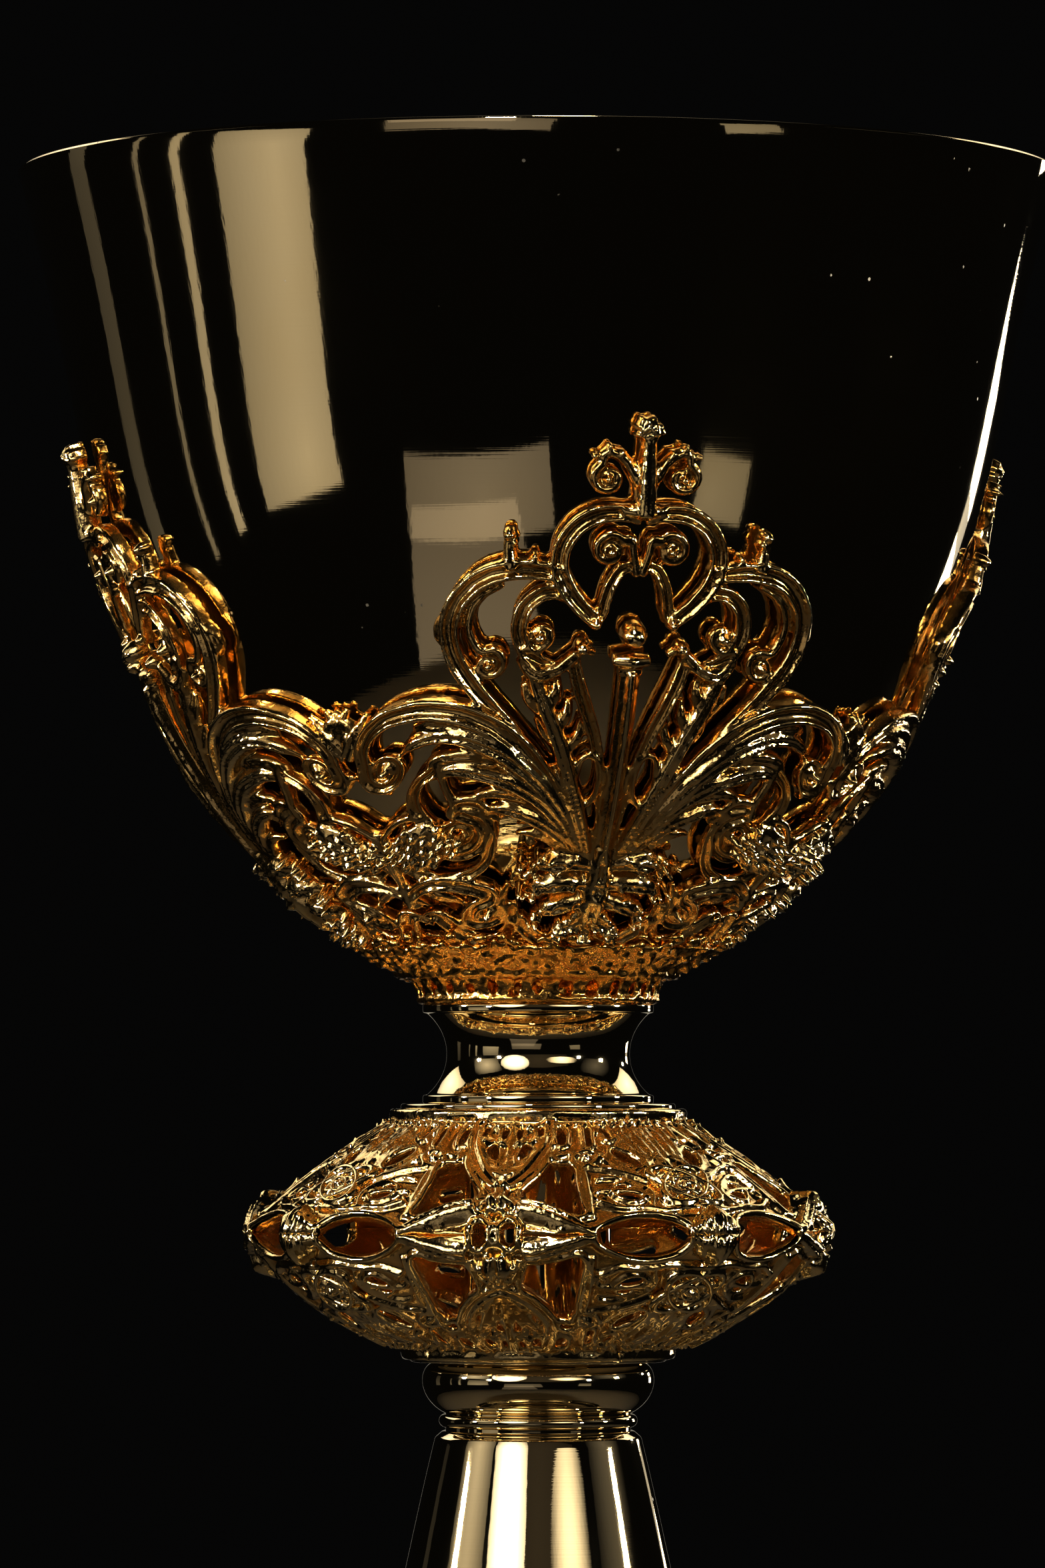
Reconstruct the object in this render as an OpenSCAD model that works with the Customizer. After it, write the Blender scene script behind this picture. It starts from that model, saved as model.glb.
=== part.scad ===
// Ciborium vessel: a deep gilt cup in a pierced calyx, on a collar, an openwork knop,
// a ring and a bell foot, all drawn together by one tie rod and a nut inside the foot.
// Units are millimetres. +Z is up, and the origin is the centre of the foot's bottom face.
// The calyx's first palmette faces -Y.

/* [Cup] */
// Height of the rim above the table
rim_z = 210; // [208:0.5:212]
// Outside radius of the cup at its rim
rim_r = 54.7; // [54:0.1:55.5]
// Wall of the cup
cup_wall = 0.9; // [0.7:0.1:1.2]
// Height of the flat underside of the cup
cup_floor_z = 125.6; // [125.4:0.1:125.8]
// Radius of that flat underside
cup_floor_r = 8; // [7.8:0.1:8.2]

/* [Calyx] */
// Gap between the cup and the calyx
calyx_gap = 0.6; // [0.5:0.05:0.8]
// Thickness of the cast calyx
calyx_wall = 2; // [1.6:0.1:2.4]
// Solder line between two calyx castings, in degrees
seam_deg = 0.4; // [0.2:0.1:0.8]
// Number of pierced holes round the base ring
ring_holes = 24; // [16:4:28]

/* [Collar and screw] */
// Radius of the collar's two lips
collar_lip_r = 12.1; // [11.9:0.1:12.3]
// Radius of the collar's waist
collar_waist_r = 10; // [9.8:0.1:10.4]
// Height of the collar's bottom face
collar_z = 112.1; // [112:0.1:112.2]
// Height of the collar
collar_h = 10.4; // [10.2:0.1:10.6]
// Radius of the screw stud under the cup
stud_r = 4; // [3.9:0.05:4.1]
// Radial clearance of the stud in its socket
stud_clear = 0.05; // [0.03:0.01:0.08]

/* [Knop] */
// Radius of the knop at its edge
knop_r = 30.8; // [30.4:0.1:31.2]
// Height of the knop's edge
knop_z = 98.8; // [98.6:0.1:99]
// Thickness of the cast knop shells
knop_wall = 1.6; // [1.4:0.1:1.8]
// Turn of the knop's pattern about the stem, in degrees
knop_turn = -22.4; // [-45:0.1:45]
// Radius of the polished tube inside the knop
core_r = 7.7; // [7.5:0.1:8]

/* [Foot] */
// Radius of the foot at the table
foot_r = 58; // [57:0.5:60]
// Height of the rim moulding under the foot
foot_rim_h = 3.2; // [3:0.1:3.6]
// Wall of the bell foot
bell_wall = 1.2; // [1:0.1:1.4]
// Height of the top of the bell
bell_top_z = 77.9; // [77.8:0.1:78]

/* [Tie rod] */
// Radius of the tie rod
rod_r = 3; // [2.9:0.05:3.1]
// Clearance of plain holes round the tie rod
rod_clear = 0.3; // [0.2:0.05:0.4]

/* [Hidden] */
$fn = 96;
polished = [0.88, 0.74, 0.45];
cast_gold = [0.80, 0.60, 0.25];
steel = [0.62, 0.63, 0.65];
raw_brass = [0.72, 0.60, 0.33];

// The cup's outside is two smooth curves: the round belly and the tall side.
cup_join = [39.2, 155.2];
belly = [[cup_floor_r, cup_floor_z], [11, 127.2], [28.5, 132.2], cup_join];
side = [cup_join, [49.4, 177.2], [46.3, 178], [rim_r, rim_z]];
curve_steps = 12;
ring_end_u = 0.4;     // where the base ring stops along the belly
panel_start_u = 0.41; // where the four castings start
panel_end_u = 1.52;   // above the tips of the palmettes

// Heights in the stack, each piece sitting on the one below
ring_floor_z = collar_z + collar_h;
ring_floor_h = 1;
boss_z = ring_floor_z + ring_floor_h;
boss_r = 7.5;
stud_l = 15;
socket_top_z = ring_floor_z - 0.5;
socket_z = 101;
socket_r = 6;
socket_lip_r = 8.5;
socket_lip_h = 2.5;
socket_rod_l = 5;
cap_h = 0.8;
cap_spigot_h = 1;
cap_clear = 0.1;
knop_top = [14.5, collar_z - cap_h];
knop_base = [13.5, 85.9];
ring_top_z = knop_base[1] - cap_h;
neck_top_z = 79.8;
shoulder_z = 60;      // the bell's inside step, which the flange presses on
bell_bore_r = 11.5;
flange_h = 2.5;
washer_h = 1.5;
spring_h = 1.5;
nut_h = 5;
nut_r = 5.77;
rod_end_z = 46;

// A point on a curve of four control points, and that curve's direction
function bez(p, t) = pow(1 - t, 3) * p[0] + 3 * t * pow(1 - t, 2) * p[1]
    + 3 * t * t * (1 - t) * p[2] + pow(t, 3) * p[3];
function bez_way(p, t) = pow(1 - t, 2) * (p[1] - p[0]) + 2 * t * (1 - t) * (p[2] - p[1])
    + t * t * (p[3] - p[2]);
function beside(p, t, d) =
    let (w = bez_way(p, t), n = [w[1], -w[0]] / norm(w)) bez(p, t) + n * d;
function reversed(list) = [for (i = [len(list) - 1:-1:0]) list[i]];

// The cup's profile at u, from 0 at the floor through 1 at the join to 2 at the rim
function cup_at(u, d) = u <= 1 ? beside(belly, u, d) : beside(side, u - 1, d);
function cup_line(from, to, steps, d) =
    [for (i = [0:steps]) cup_at(from + (to - from) * i / steps, d)];

// The knop's profile, above and below its edge
knop_up = [[knop_r, knop_z + 0.5], [28.6, 101.4], [20.5, 107.6], knop_top];
knop_down = [[knop_r, knop_z - 0.5], [28.5, 94.3], [22, 88.5], knop_base];
function knop_line(p, d, from = 0) = [for (i = [from:8]) beside(p, i / 8, d)];

// The bell's profile, from the neck down to the foot's moulding
bell_line = [[10.8, bell_top_z - 0.7], [17, 52], [20, 20], [44, 11]];

// A tube standing on z, with a bore
module tube(r, bore, z, h) {
    translate([0, 0, z]) difference() {
        cylinder(r = r, h = h);
        translate([0, 0, -1]) cylinder(r = bore, h = h + 2);
    }
}

// A slot with round ends, upright, turned by lean
module slot(w, l, lean) {
    rotate(lean) {
        square([w, l - w], center = true);
        for (end = [-1, 1]) translate([0, end * (l - w) / 2]) circle(d = w);
    }
}

// Cuts a shape, drawn facing -Y at height z, outwards through the wall at an angle
module pierce(angle, z, inner) {
    rotate([0, 0, angle]) translate([0, -inner, z]) rotate([90, 0, 0])
        linear_extrude(height = 70) children();
}

// ---- Cup ----
module cup_bowl() {
    lip = 0.25;
    outside = cup_line(0, 1, curve_steps, 0);
    outside_side = cup_line(1.04, 1.97, curve_steps, 0);
    inside = reversed(cup_line(0, 1, curve_steps, -cup_wall));
    inside_side = reversed(cup_line(1.04, 1.97, curve_steps, -cup_wall));
    color(polished) rotate_extrude() polygon(concat(
        [[0, cup_floor_z]], outside, outside_side,
        [[rim_r, rim_z - lip], [rim_r - lip, rim_z], [rim_r - cup_wall + lip, rim_z],
         [rim_r - cup_wall, rim_z - lip]],
        inside_side, inside, [[0, cup_floor_z + cup_wall]]));
}

module cup_boss() {
    color(raw_brass) translate([0, 0, boss_z]) cylinder(r = boss_r, h = cup_floor_z - boss_z);
}

module cup_stud() {
    tip = 1;
    color(steel) translate([0, 0, boss_z - stud_l]) {
        translate([0, 0, tip]) cylinder(r = stud_r, h = stud_l - tip);
        cylinder(r1 = stud_r - tip, r2 = stud_r, h = tip);
    }
}

// ---- Calyx ----
module calyx_ring() {
    hole = 2;
    floor_r = collar_lip_r;
    outer = cup_line(0.24, ring_end_u, 4, calyx_gap + calyx_wall);
    inner = reversed(cup_line(0.16, ring_end_u, 4, calyx_gap));
    color(cast_gold) difference() {
        rotate_extrude() polygon(concat(
            [[stud_r + 0.5, ring_floor_z], [floor_r, ring_floor_z]], outer, inner,
            [[boss_r + 1, boss_z], [stud_r + 0.5, boss_z]]));
        for (i = [0:ring_holes - 1]) pierce(i * 360 / ring_holes, 126.6, 10)
            circle(d = hole);
    }
}

// Half of a palmette with its wing, as seen from -Y, from the tip down to the seam
half_outline = [[0, 180.6], [1.7, 179.6], [1.5, 176.6], [4.6, 176.2], [6, 174], [4.8, 171.6],
    [2.4, 170.6], [6.6, 169.2], [8.4, 167], [8.6, 164.8], [11.4, 165], [12.3, 168.6],
    [14, 168.6], [14.6, 165], [17.6, 163.6], [19.6, 159.8], [18.2, 156], [13.8, 152.3],
    [19.5, 152.6], [25, 151.2], [30, 148.5], [30, 126]];
palmette = concat(half_outline,
    [for (p = reversed(half_outline)) if (p[0] > 0) [-p[0], p[1]]]);

// Openings on each side of the palmette: angle, height, width, length and lean
openings = [[8, 164.8, 2.2, 4.6, 18], [4.4, 159.6, 3.6, 6.2, 70], [17.6, 160.4, 3, 5, 40],
    [2.8, 152.8, 1.5, 6.4, -8], [9.6, 153.6, 1.6, 4.6, -34], [4.6, 144.8, 1.9, 3.8, -8],
    [14, 148.6, 1.5, 5, -52], [37.5, 147.8, 2.2, 3, 10], [30, 145.4, 1.8, 4.4, 70],
    [19, 137, 3, 5.6, -70], [30, 131.6, 2.8, 6, 82], [7, 130.6, 2, 3, 0],
    [43, 133.6, 1.6, 3, 0], [45, 142, 6, 7.4, 0], [24, 141.6, 1.6, 4.6, 66]];

module calyx_panel(turn) {
    outer = cup_line(panel_start_u, panel_end_u, 14, calyx_gap + calyx_wall);
    inner = reversed(cup_line(panel_start_u, panel_end_u, 14, calyx_gap));
    color(cast_gold) rotate([0, 0, turn]) difference() {
        intersection() {
            rotate_extrude(angle = 90 - seam_deg, start = 225 + seam_deg / 2)
                polygon(concat(outer, inner));
            rotate([90, 0, 0]) linear_extrude(height = 60) polygon(palmette);
        }
        for (o = openings, side = [-1, 1]) pierce(side * o[0], o[1], 8)
            slot(o[2], o[3], side * o[4]);
        pierce(0, 161.8, 8) circle(r = 2.4);
    }
}
module calyx_panel_front() { calyx_panel(0); }
module calyx_panel_right() { calyx_panel(90); }
module calyx_panel_back() { calyx_panel(180); }
module calyx_panel_left() { calyx_panel(270); }

// ---- Collar and socket ----
module collar() {
    lip_h = 0.9;
    lip_in = 0.4;
    // the hollow between the lips is one round sweep, deepest at the waist
    waist = [[collar_lip_r - lip_in, collar_h - lip_h], [8.9, collar_h - lip_h - 2.4],
        [8.9, lip_h + 2.4], [collar_lip_r - lip_in, lip_h]];
    hollow = [for (i = [0:12]) bez(waist, i / 12)];
    color(polished) translate([0, 0, collar_z]) difference() {
        rotate_extrude() polygon(concat(
            [[0, collar_h], [collar_lip_r, collar_h], [collar_lip_r, collar_h - lip_h]],
            hollow, [[collar_lip_r, lip_h], [collar_lip_r, 0], [0, 0]]));
        translate([0, 0, -1]) cylinder(r = socket_r + 0.1, h = collar_h + 2);
        translate([0, 0, socket_top_z - socket_lip_h - collar_z])
            cylinder(r = socket_lip_r + 0.1, h = collar_h);
    }
}

module stem_socket() {
    color(raw_brass) difference() {
        union() {
            translate([0, 0, socket_z]) cylinder(r = socket_r, h = socket_top_z - socket_z);
            translate([0, 0, socket_top_z - socket_lip_h])
                cylinder(r = socket_lip_r, h = socket_lip_h);
        }
        translate([0, 0, boss_z - stud_l - 0.5])
            cylinder(r = stud_r + stud_clear, h = stud_l + 5);
        translate([0, 0, socket_z - 1]) cylinder(r = rod_r + 0.05, h = socket_rod_l + 1);
    }
}

// ---- Knop ----
module knop_cap(r, spigot_r, bore, z, spigot_z) {
    color(polished) difference() {
        union() {
            translate([0, 0, z]) cylinder(r = r, h = cap_h);
            translate([0, 0, spigot_z]) cylinder(r = spigot_r, h = cap_spigot_h);
        }
        translate([0, 0, z - 5]) cylinder(r = bore, h = 12);
    }
}
module knop_cap_upper() {
    knop_cap(knop_top[0] - 0.1, knop_top[0] - knop_wall - 0.5, socket_r + 0.1,
        knop_top[1], knop_top[1] - cap_spigot_h);
}
module knop_cap_lower() {
    knop_cap(knop_base[0] - 0.1, knop_base[0] - knop_wall - 0.4, rod_r + rod_clear,
        ring_top_z, knop_base[1]);
}

module knop_core() {
    color(polished) tube(core_r, socket_r + 0.1, knop_base[1] + cap_spigot_h,
        knop_top[1] - knop_base[1] - 2 * cap_spigot_h);
}

// The knop's openings between its cartouches, eight to a side
module knop_openings(way) {
    for (quarter = [0:3]) rotate([0, 0, knop_turn + quarter * 90]) {
        for (side = [-1, 1]) {
            pierce(side * 27.5, knop_z, 20) slot(5.2, 8.4, 90);
            pierce(side * 11, knop_z + way * 6.3, 12) slot(3.6, 7, side * way * 14);
            pierce(side * 5.5, knop_z + way * 9.7, 10) slot(1.5, 2.4, 0);
            pierce(side * 31, knop_z + way * 5.2, 15) slot(2, 3, side * way * 30);
            pierce(side * 35, knop_z + way * 8.8, 10) slot(1.5, 3, side * way * 20);
        }
        pierce(0, knop_z, 20) slot(2.6, 4.6, 90);
        pierce(45, knop_z + way * 9, 10) slot(1.3, 3, 0);
    }
}

module knop_shell(line, way) {
    color(cast_gold) difference() {
        rotate_extrude() polygon(concat(
            [[knop_r, knop_z]], knop_line(line, 0),
            reversed(knop_line(line, -way * knop_wall, 1)),
            [[knop_r - 1.5 * knop_wall, knop_z]]));
        knop_openings(way);
    }
}
module knop_upper() { knop_shell(knop_up, 1); }
module knop_lower() { knop_shell(knop_down, -1); }

// ---- Stem ----
module stem_ring() {
    bulge = [[10.9, ring_top_z], [12.7, ring_top_z - 0.5], [12.7, 81.3], [9.9, neck_top_z]];
    color(polished) rotate_extrude() polygon(concat(
        [[rod_r + rod_clear, ring_top_z]], [for (i = [0:12]) bez(bulge, i / 12)],
        [[rod_r + rod_clear, neck_top_z]]));
}

module neck_ring() {
    bead = 0.42;
    mid_z = (neck_top_z + bell_top_z) / 2;
    neck_r = 9.7;
    color(polished) rotate_extrude() {
        translate([rod_r + rod_clear, bell_top_z])
            square([neck_r - rod_r - rod_clear, neck_top_z - bell_top_z]);
        for (row = [-1, 1]) translate([neck_r, mid_z + row * (bead + 0.06)]) circle(r = bead);
    }
}

// ---- Foot ----
module foot_bell() {
    web_z = 74;
    outer = [for (i = [0:14]) bez(bell_line, i / 14)];
    inner = [for (i = [14:-1:6]) beside(bell_line, i / 14, bell_wall)];
    step = [[44.6, 8.6], [46.4, 8.2], [49, 6.4], [53.4, 4.6], [55.6, foot_rim_h]];
    under = [[52.8, foot_rim_h], [48, 5.2], [45.4, 7], [43.4, 9.4]];
    color(polished) rotate_extrude() polygon(concat(
        [[rod_r + rod_clear, bell_top_z], [10, bell_top_z]], outer, step, under, inner,
        [[13.7, shoulder_z], [bell_bore_r, shoulder_z], [bell_bore_r - 2, web_z],
         [rod_r + rod_clear, web_z]]));
}

module foot_rim() {
    round_r = foot_rim_h / 2;
    color(polished) rotate_extrude() {
        translate([52.2, 0]) square([foot_r - round_r - 52.2, foot_rim_h]);
        translate([foot_r - round_r, round_r]) circle(r = round_r);
    }
}

module foot_flange() {
    color(raw_brass) tube(13.5, rod_r + rod_clear, shoulder_z - flange_h, flange_h);
}

// ---- Tie rod and its fasteners ----
module rod_washer() {
    color(steel) tube(9, rod_r + rod_clear, shoulder_z - flange_h - washer_h, washer_h);
}
module spring_washer() {
    z = shoulder_z - flange_h - washer_h - spring_h;
    gap = 0.8;
    color(steel) difference() {
        tube(5.6, rod_r + 0.2, z, spring_h);
        translate([0, -gap / 2, z - 1]) cube([10, gap, spring_h + 2]);
    }
}
module rod_nut() {
    z = shoulder_z - flange_h - washer_h - spring_h - nut_h;
    color(steel) translate([0, 0, z]) difference() {
        cylinder(r = nut_r, h = nut_h, $fn = 6);
        translate([0, 0, -1]) cylinder(r = rod_r + 0.05, h = nut_h + 2);
    }
}
module tie_rod() {
    tip = 0.8;
    top_z = socket_z + socket_rod_l - 0.5;
    color(steel) {
        translate([0, 0, rod_end_z + tip]) cylinder(r = rod_r, h = top_z - rod_end_z - tip);
        translate([0, 0, rod_end_z]) cylinder(r1 = rod_r - tip, r2 = rod_r, h = tip);
    }
}

cup_bowl();
cup_boss();
cup_stud();
calyx_ring();
calyx_panel_front();
calyx_panel_right();
calyx_panel_back();
calyx_panel_left();
collar();
stem_socket();
knop_cap_upper();
knop_upper();
knop_core();
knop_lower();
knop_cap_lower();
stem_ring();
neck_ring();
foot_bell();
foot_rim();
foot_flange();
rod_washer();
spring_washer();
rod_nut();
tie_rod();
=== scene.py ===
# %% [markdown]
# # A gilt ciborium, finished round its CAD frame
# The vessel is a stack of pieces on one tie rod: a bell foot, a ring, an openwork knop, a collar
# and a deep cup that sits in a pierced calyx. The CAD frame already holds every piece at its real
# size and place. This notebook gives each piece the surface that a goldsmith would give it.
# Everything is in metres in the frame, and the drawing of each piece is in millimetres.

# %% Load the frame
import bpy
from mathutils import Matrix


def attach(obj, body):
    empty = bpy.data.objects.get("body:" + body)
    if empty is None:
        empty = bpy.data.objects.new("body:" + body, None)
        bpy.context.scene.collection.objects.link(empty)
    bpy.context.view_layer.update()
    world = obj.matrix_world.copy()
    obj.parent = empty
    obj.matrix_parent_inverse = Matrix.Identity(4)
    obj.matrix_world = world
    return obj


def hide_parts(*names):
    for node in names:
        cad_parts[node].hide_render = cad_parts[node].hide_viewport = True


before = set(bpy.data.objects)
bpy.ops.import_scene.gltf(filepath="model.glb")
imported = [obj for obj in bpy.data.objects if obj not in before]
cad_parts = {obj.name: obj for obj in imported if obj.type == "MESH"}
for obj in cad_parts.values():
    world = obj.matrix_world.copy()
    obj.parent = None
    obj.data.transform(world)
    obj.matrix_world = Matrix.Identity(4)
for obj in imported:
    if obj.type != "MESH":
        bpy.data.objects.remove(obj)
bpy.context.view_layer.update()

# %% Units and the few modules in use
import math
import random
import bpy
import numpy as np
from mathutils import Vector

MM = 0.001
chance = random.Random(11)
scene = bpy.context.scene

# %% [markdown]
# ## Camera
# The vessel is seen from a little left of the calyx's first palmette, from knop height and through
# a long lens, so its rim is almost a straight line. A long lens far away keeps the ellipses flat.

# %% Camera
CAMERA_TURN = math.radians(-13)   # round from the front, towards the viewer's left
CAMERA_DISTANCE = 0.910
CAMERA_HEIGHT = 0.1126
CAMERA_PITCH = math.radians(2.08)
camera_data = bpy.data.cameras.new("camera")
camera_data.lens = 199
camera_data.sensor_width = 36
camera_data.shift_x = -0.010
camera_data.clip_start = 0.01
camera = bpy.data.objects.new("camera", camera_data)
scene.collection.objects.link(camera)
camera.location = (CAMERA_DISTANCE * math.sin(CAMERA_TURN),
                   -CAMERA_DISTANCE * math.cos(CAMERA_TURN), CAMERA_HEIGHT)
camera.rotation_euler = (math.radians(90) + CAMERA_PITCH, 0, CAMERA_TURN)
scene.camera = camera
print("camera at", [round(v, 3) for v in camera.location])


# %% [markdown]
# ## Helpers for working by operator
# Operators act on whatever is selected, so each step starts by selecting one object alone.
# A modifier is added and applied straight away, as one would press Apply by hand.

# %% Selection, modifiers and clean-up
def only(piece):
    bpy.ops.object.select_all(action="DESELECT")
    piece.select_set(True)
    bpy.context.view_layer.objects.active = piece


def added(name, data):
    """A new object in the scene, from a mesh, curve or light."""
    piece = bpy.data.objects.new(name, data)
    scene.collection.objects.link(piece)
    return piece


def apply(piece, kind, **settings):
    only(piece)
    modifier = piece.modifiers.new(kind.lower(), kind)
    for key, value in settings.items():
        setattr(modifier, key, value)
    bpy.ops.object.modifier_apply(modifier=modifier.name)


def join(pieces, name):
    bpy.ops.object.select_all(action="DESELECT")
    for piece in pieces:
        piece.select_set(True)
    bpy.context.view_layer.objects.active = pieces[0]
    if len(pieces) > 1:
        bpy.ops.object.join()
    pieces[0].name = name
    pieces[0].data.name = name
    return pieces[0]


def triangles(piece):
    return sum(len(face.vertices) - 2 for face in piece.data.polygons)


# %% [markdown]
# ## Curves the vessel is drawn with
# The same few curves draw the CAD frame. A Bezier curve of four points gives a line with a smooth
# slope, which a mirror polish needs: any kink would show as a break in the reflections.

# %% Bezier curves, with their outward normals
def bezier(curve, t):
    a, b, c, d = (np.array(point, float) for point in curve)
    return (1 - t) ** 3 * a + 3 * t * (1 - t) ** 2 * b + 3 * t * t * (1 - t) * c + t ** 3 * d


def bezier_way(curve, t):
    a, b, c, d = (np.array(point, float) for point in curve)
    way = (1 - t) ** 2 * (b - a) + 2 * t * (1 - t) * (c - b) + t * t * (d - c)
    return way / np.hypot(*way)


def along(curve, steps, lift=0.0, start=0.0, end=1.0):
    """Points (radius, height) along a curve, moved sideways by lift."""
    line = []
    for t in np.linspace(start, end, steps):
        way = bezier_way(curve, t)
        line.append(bezier(curve, t) + lift * np.array([way[1], -way[0]]))
    return [tuple(point) for point in line]


CUP_JOIN = (39.2, 155.2)
BELLY = [(8, 125.6), (11, 127.2), (28.5, 132.2), CUP_JOIN]
SIDE = [CUP_JOIN, (49.4, 177.2), (46.3, 178), (54.7, 210)]
RIM_R, RIM_Z = SIDE[-1]
print("cup: rim radius", RIM_R, "mm at height", RIM_Z, "mm")


# %% [markdown]
# ## Turned pieces
# The cup, collar, rings and foot are spun or turned on a lathe. In Blender the same is done with
# Spin: half of the section is drawn as a line of points, then swept round the axis. Closed
# sections give tubes, and a line that starts and ends on the axis gives a solid. Fine steps are
# cheap here, and they keep mirror reflections smooth. Sharp corners get a small bevel, because a
# real polished edge is never sharp and catches a thin line of light.

# %% Spin a section
def turned(name, section, closed=True, steps=224, edge=0.12):
    mesh = bpy.data.meshes.new(name)
    count = len(section)
    edges = [(i, i + 1) for i in range(count - 1)] + ([(count - 1, 0)] if closed else [])
    mesh.from_pydata([(r * MM, 0, z * MM) for r, z in section], edges, [])
    piece = added(name, mesh)
    only(piece)
    bpy.ops.object.mode_set(mode="EDIT")
    bpy.ops.mesh.select_all(action="SELECT")
    bpy.ops.mesh.spin(steps=steps, angle=math.tau, center=(0, 0, 0), axis=(0, 0, 1))
    bpy.ops.mesh.select_all(action="SELECT")
    bpy.ops.mesh.remove_doubles(threshold=0.000004)
    bpy.ops.mesh.normals_make_consistent(inside=False)
    bpy.ops.object.mode_set(mode="OBJECT")
    if edge:
        apply(piece, "BEVEL", width=edge * MM, segments=3, limit_method="ANGLE",
              angle_limit=math.radians(32))
    only(piece)
    bpy.ops.object.shade_smooth_by_angle(angle=math.radians(34))
    print(name, "-", triangles(piece), "triangles")
    return piece


# %% [markdown]
# ## The finishes
# Four finishes cover the vessel. They are built from noise in object coordinates, so they keep
# their scale in millimetres on every piece. A metal's look comes from its reflections: colour sits
# in the base colour, and small changes in roughness make the difference between plastic and gold.

# %% Material helpers
def new_material(name, colour, metallic=1.0):
    material = bpy.data.materials.new(name)
    material.use_nodes = True
    shader = material.node_tree.nodes["Principled BSDF"]
    shader.inputs["Base Color"].default_value = (*colour, 1)
    shader.inputs["Metallic"].default_value = metallic
    return material, shader


def node(material, kind, links=(), **values):
    made = material.node_tree.nodes.new("ShaderNode" + kind)
    for key, value in values.items():
        if hasattr(made, key):
            setattr(made, key, value)
        else:
            made.inputs[key.replace("_", " ")].default_value = value
    for source, socket in links:
        material.node_tree.links.new(source, made.inputs[socket])
    return made


def link(material, source, target):
    material.node_tree.links.new(source, target)


def ranged(material, source, low, high, to_low, to_high):
    made = node(material, "MapRange", [(source, "Value")])
    for socket, value in zip(("From Min", "From Max", "To Min", "To Max"), (low, high, to_low, to_high)):
        made.inputs[socket].default_value = value
    return made.outputs["Result"]


def noise(material, coordinates, scale, detail=3.0, stretch=None):
    if stretch:
        mapping = node(material, "Mapping", [(coordinates, "Vector")])
        mapping.inputs["Scale"].default_value = stretch
        coordinates = mapping.outputs["Vector"]
    return node(material, "TexNoise", [(coordinates, "Vector")], Scale=scale, Detail=detail).outputs["Fac"]


def blend_colours(material, factor, first, second):
    made = node(material, "Mix", data_type="RGBA")
    made.inputs[6].default_value = (*first, 1)
    made.inputs[7].default_value = (*second, 1)
    link(material, factor, made.inputs[0])
    return made.outputs[2]


# %% [markdown]
# ### Polished gilding
# Bright gilding over brass is close to a mirror. Up close it carries very fine turning lines, a few
# hairline scratches, breath-like smudges and specks of dust. The turning lines run round the axis,
# so the noise is squeezed along Z. Dust is a sparse pattern of dots that are rough and pale.

# %% Polished gilding
def polished_gilding(name, colour, deep, gloss=(0.022, 0.060)):
    material, shader = new_material(name, colour)
    where = node(material, "TexCoord").outputs["Object"]
    smudge = noise(material, where, 38, 5)
    fine = noise(material, where, 1, 2, stretch=(60, 60, 5200))
    scratch = noise(material, where, 1, 1, stretch=(2600, 2600, 90))
    cells = node(material, "TexVoronoi", [(where, "Vector")], Scale=330.0)
    near = ranged(material, cells.outputs["Distance"], 0.05, 0.075, 1, 0)
    rare = ranged(material, noise(material, where, 160, 1), 0.60, 0.62, 0, 1)
    dust = node(material, "Math", [(near, 0), (rare, 1)], operation="MULTIPLY").outputs[0]
    tint = blend_colours(material, ranged(material, smudge, 0.3, 0.7, 0, 1), colour, deep)
    dusty = node(material, "Mix", [(dust, 0), (tint, 6)], data_type="RGBA")
    dusty.inputs[7].default_value = (0.80, 0.74, 0.62, 1)
    link(material, dusty.outputs[2], shader.inputs["Base Color"])
    base = ranged(material, smudge, 0.35, 0.7, *gloss)
    rough = node(material, "Math", [(dust, 0), (base, 2)], operation="MULTIPLY_ADD")
    rough.inputs[1].default_value = 0.35
    link(material, rough.outputs[0], shader.inputs["Roughness"])
    lines = node(material, "Math", [(fine, 0), (scratch, 1)], operation="ADD").outputs[0]
    bump = node(material, "Bump", [(lines, "Height")], Strength=0.045, Distance=0.00004)
    link(material, bump.outputs[0], shader.inputs["Normal"])
    return material


GILT = polished_gilding("polished_gilding", (0.95, 0.80, 0.52), (0.93, 0.75, 0.44))


# %% [markdown]
# ### Cast gilding
# The calyx and knop are cast, so they keep a skin of small pits and grains. Chasing tools have
# left what stands proud glossy, and the hollows stay matt. The colour is painted shade: it darkens
# to a deeper orange in the hollows. Each casting carries an attribute, relief, which is its height above
# its bed, and the finish follows it.

# %% Cast gilding
def cast_gilding(name, high, low):
    material, shader = new_material(name, high)
    where = node(material, "TexCoord").outputs["Object"]
    relief = node(material, "Attribute", attribute_name="relief").outputs["Fac"]
    grain = noise(material, where, 2300, 4)
    patch = noise(material, where, 260, 3)
    uneven = node(material, "Math", [(patch, 0), (relief, 2)], operation="MULTIPLY_ADD")
    uneven.inputs[1].default_value = 0.35
    # Painted shade: the base colour runs from the high gold on proud parts to the darker low colour in the
    # hollows; roughness follows the same mask as the chased finish.
    relief_shade_mask = ranged(material, uneven.outputs[0], 0.35, 0.85, 0, 1)
    link(material, blend_colours(material, relief_shade_mask, low, high), shader.inputs["Base Color"])
    satin = ranged(material, relief_shade_mask, 0, 1, 0.13, 0.035)
    rough = node(material, "Math", [(grain, 0), (satin, 2)], operation="MULTIPLY_ADD")
    rough.inputs[1].default_value = 0.08
    link(material, rough.outputs[0], shader.inputs["Roughness"])
    bump = node(material, "Bump", [(grain, "Height")], Strength=0.28, Distance=0.00012)
    link(material, bump.outputs[0], shader.inputs["Normal"])
    return material


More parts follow.
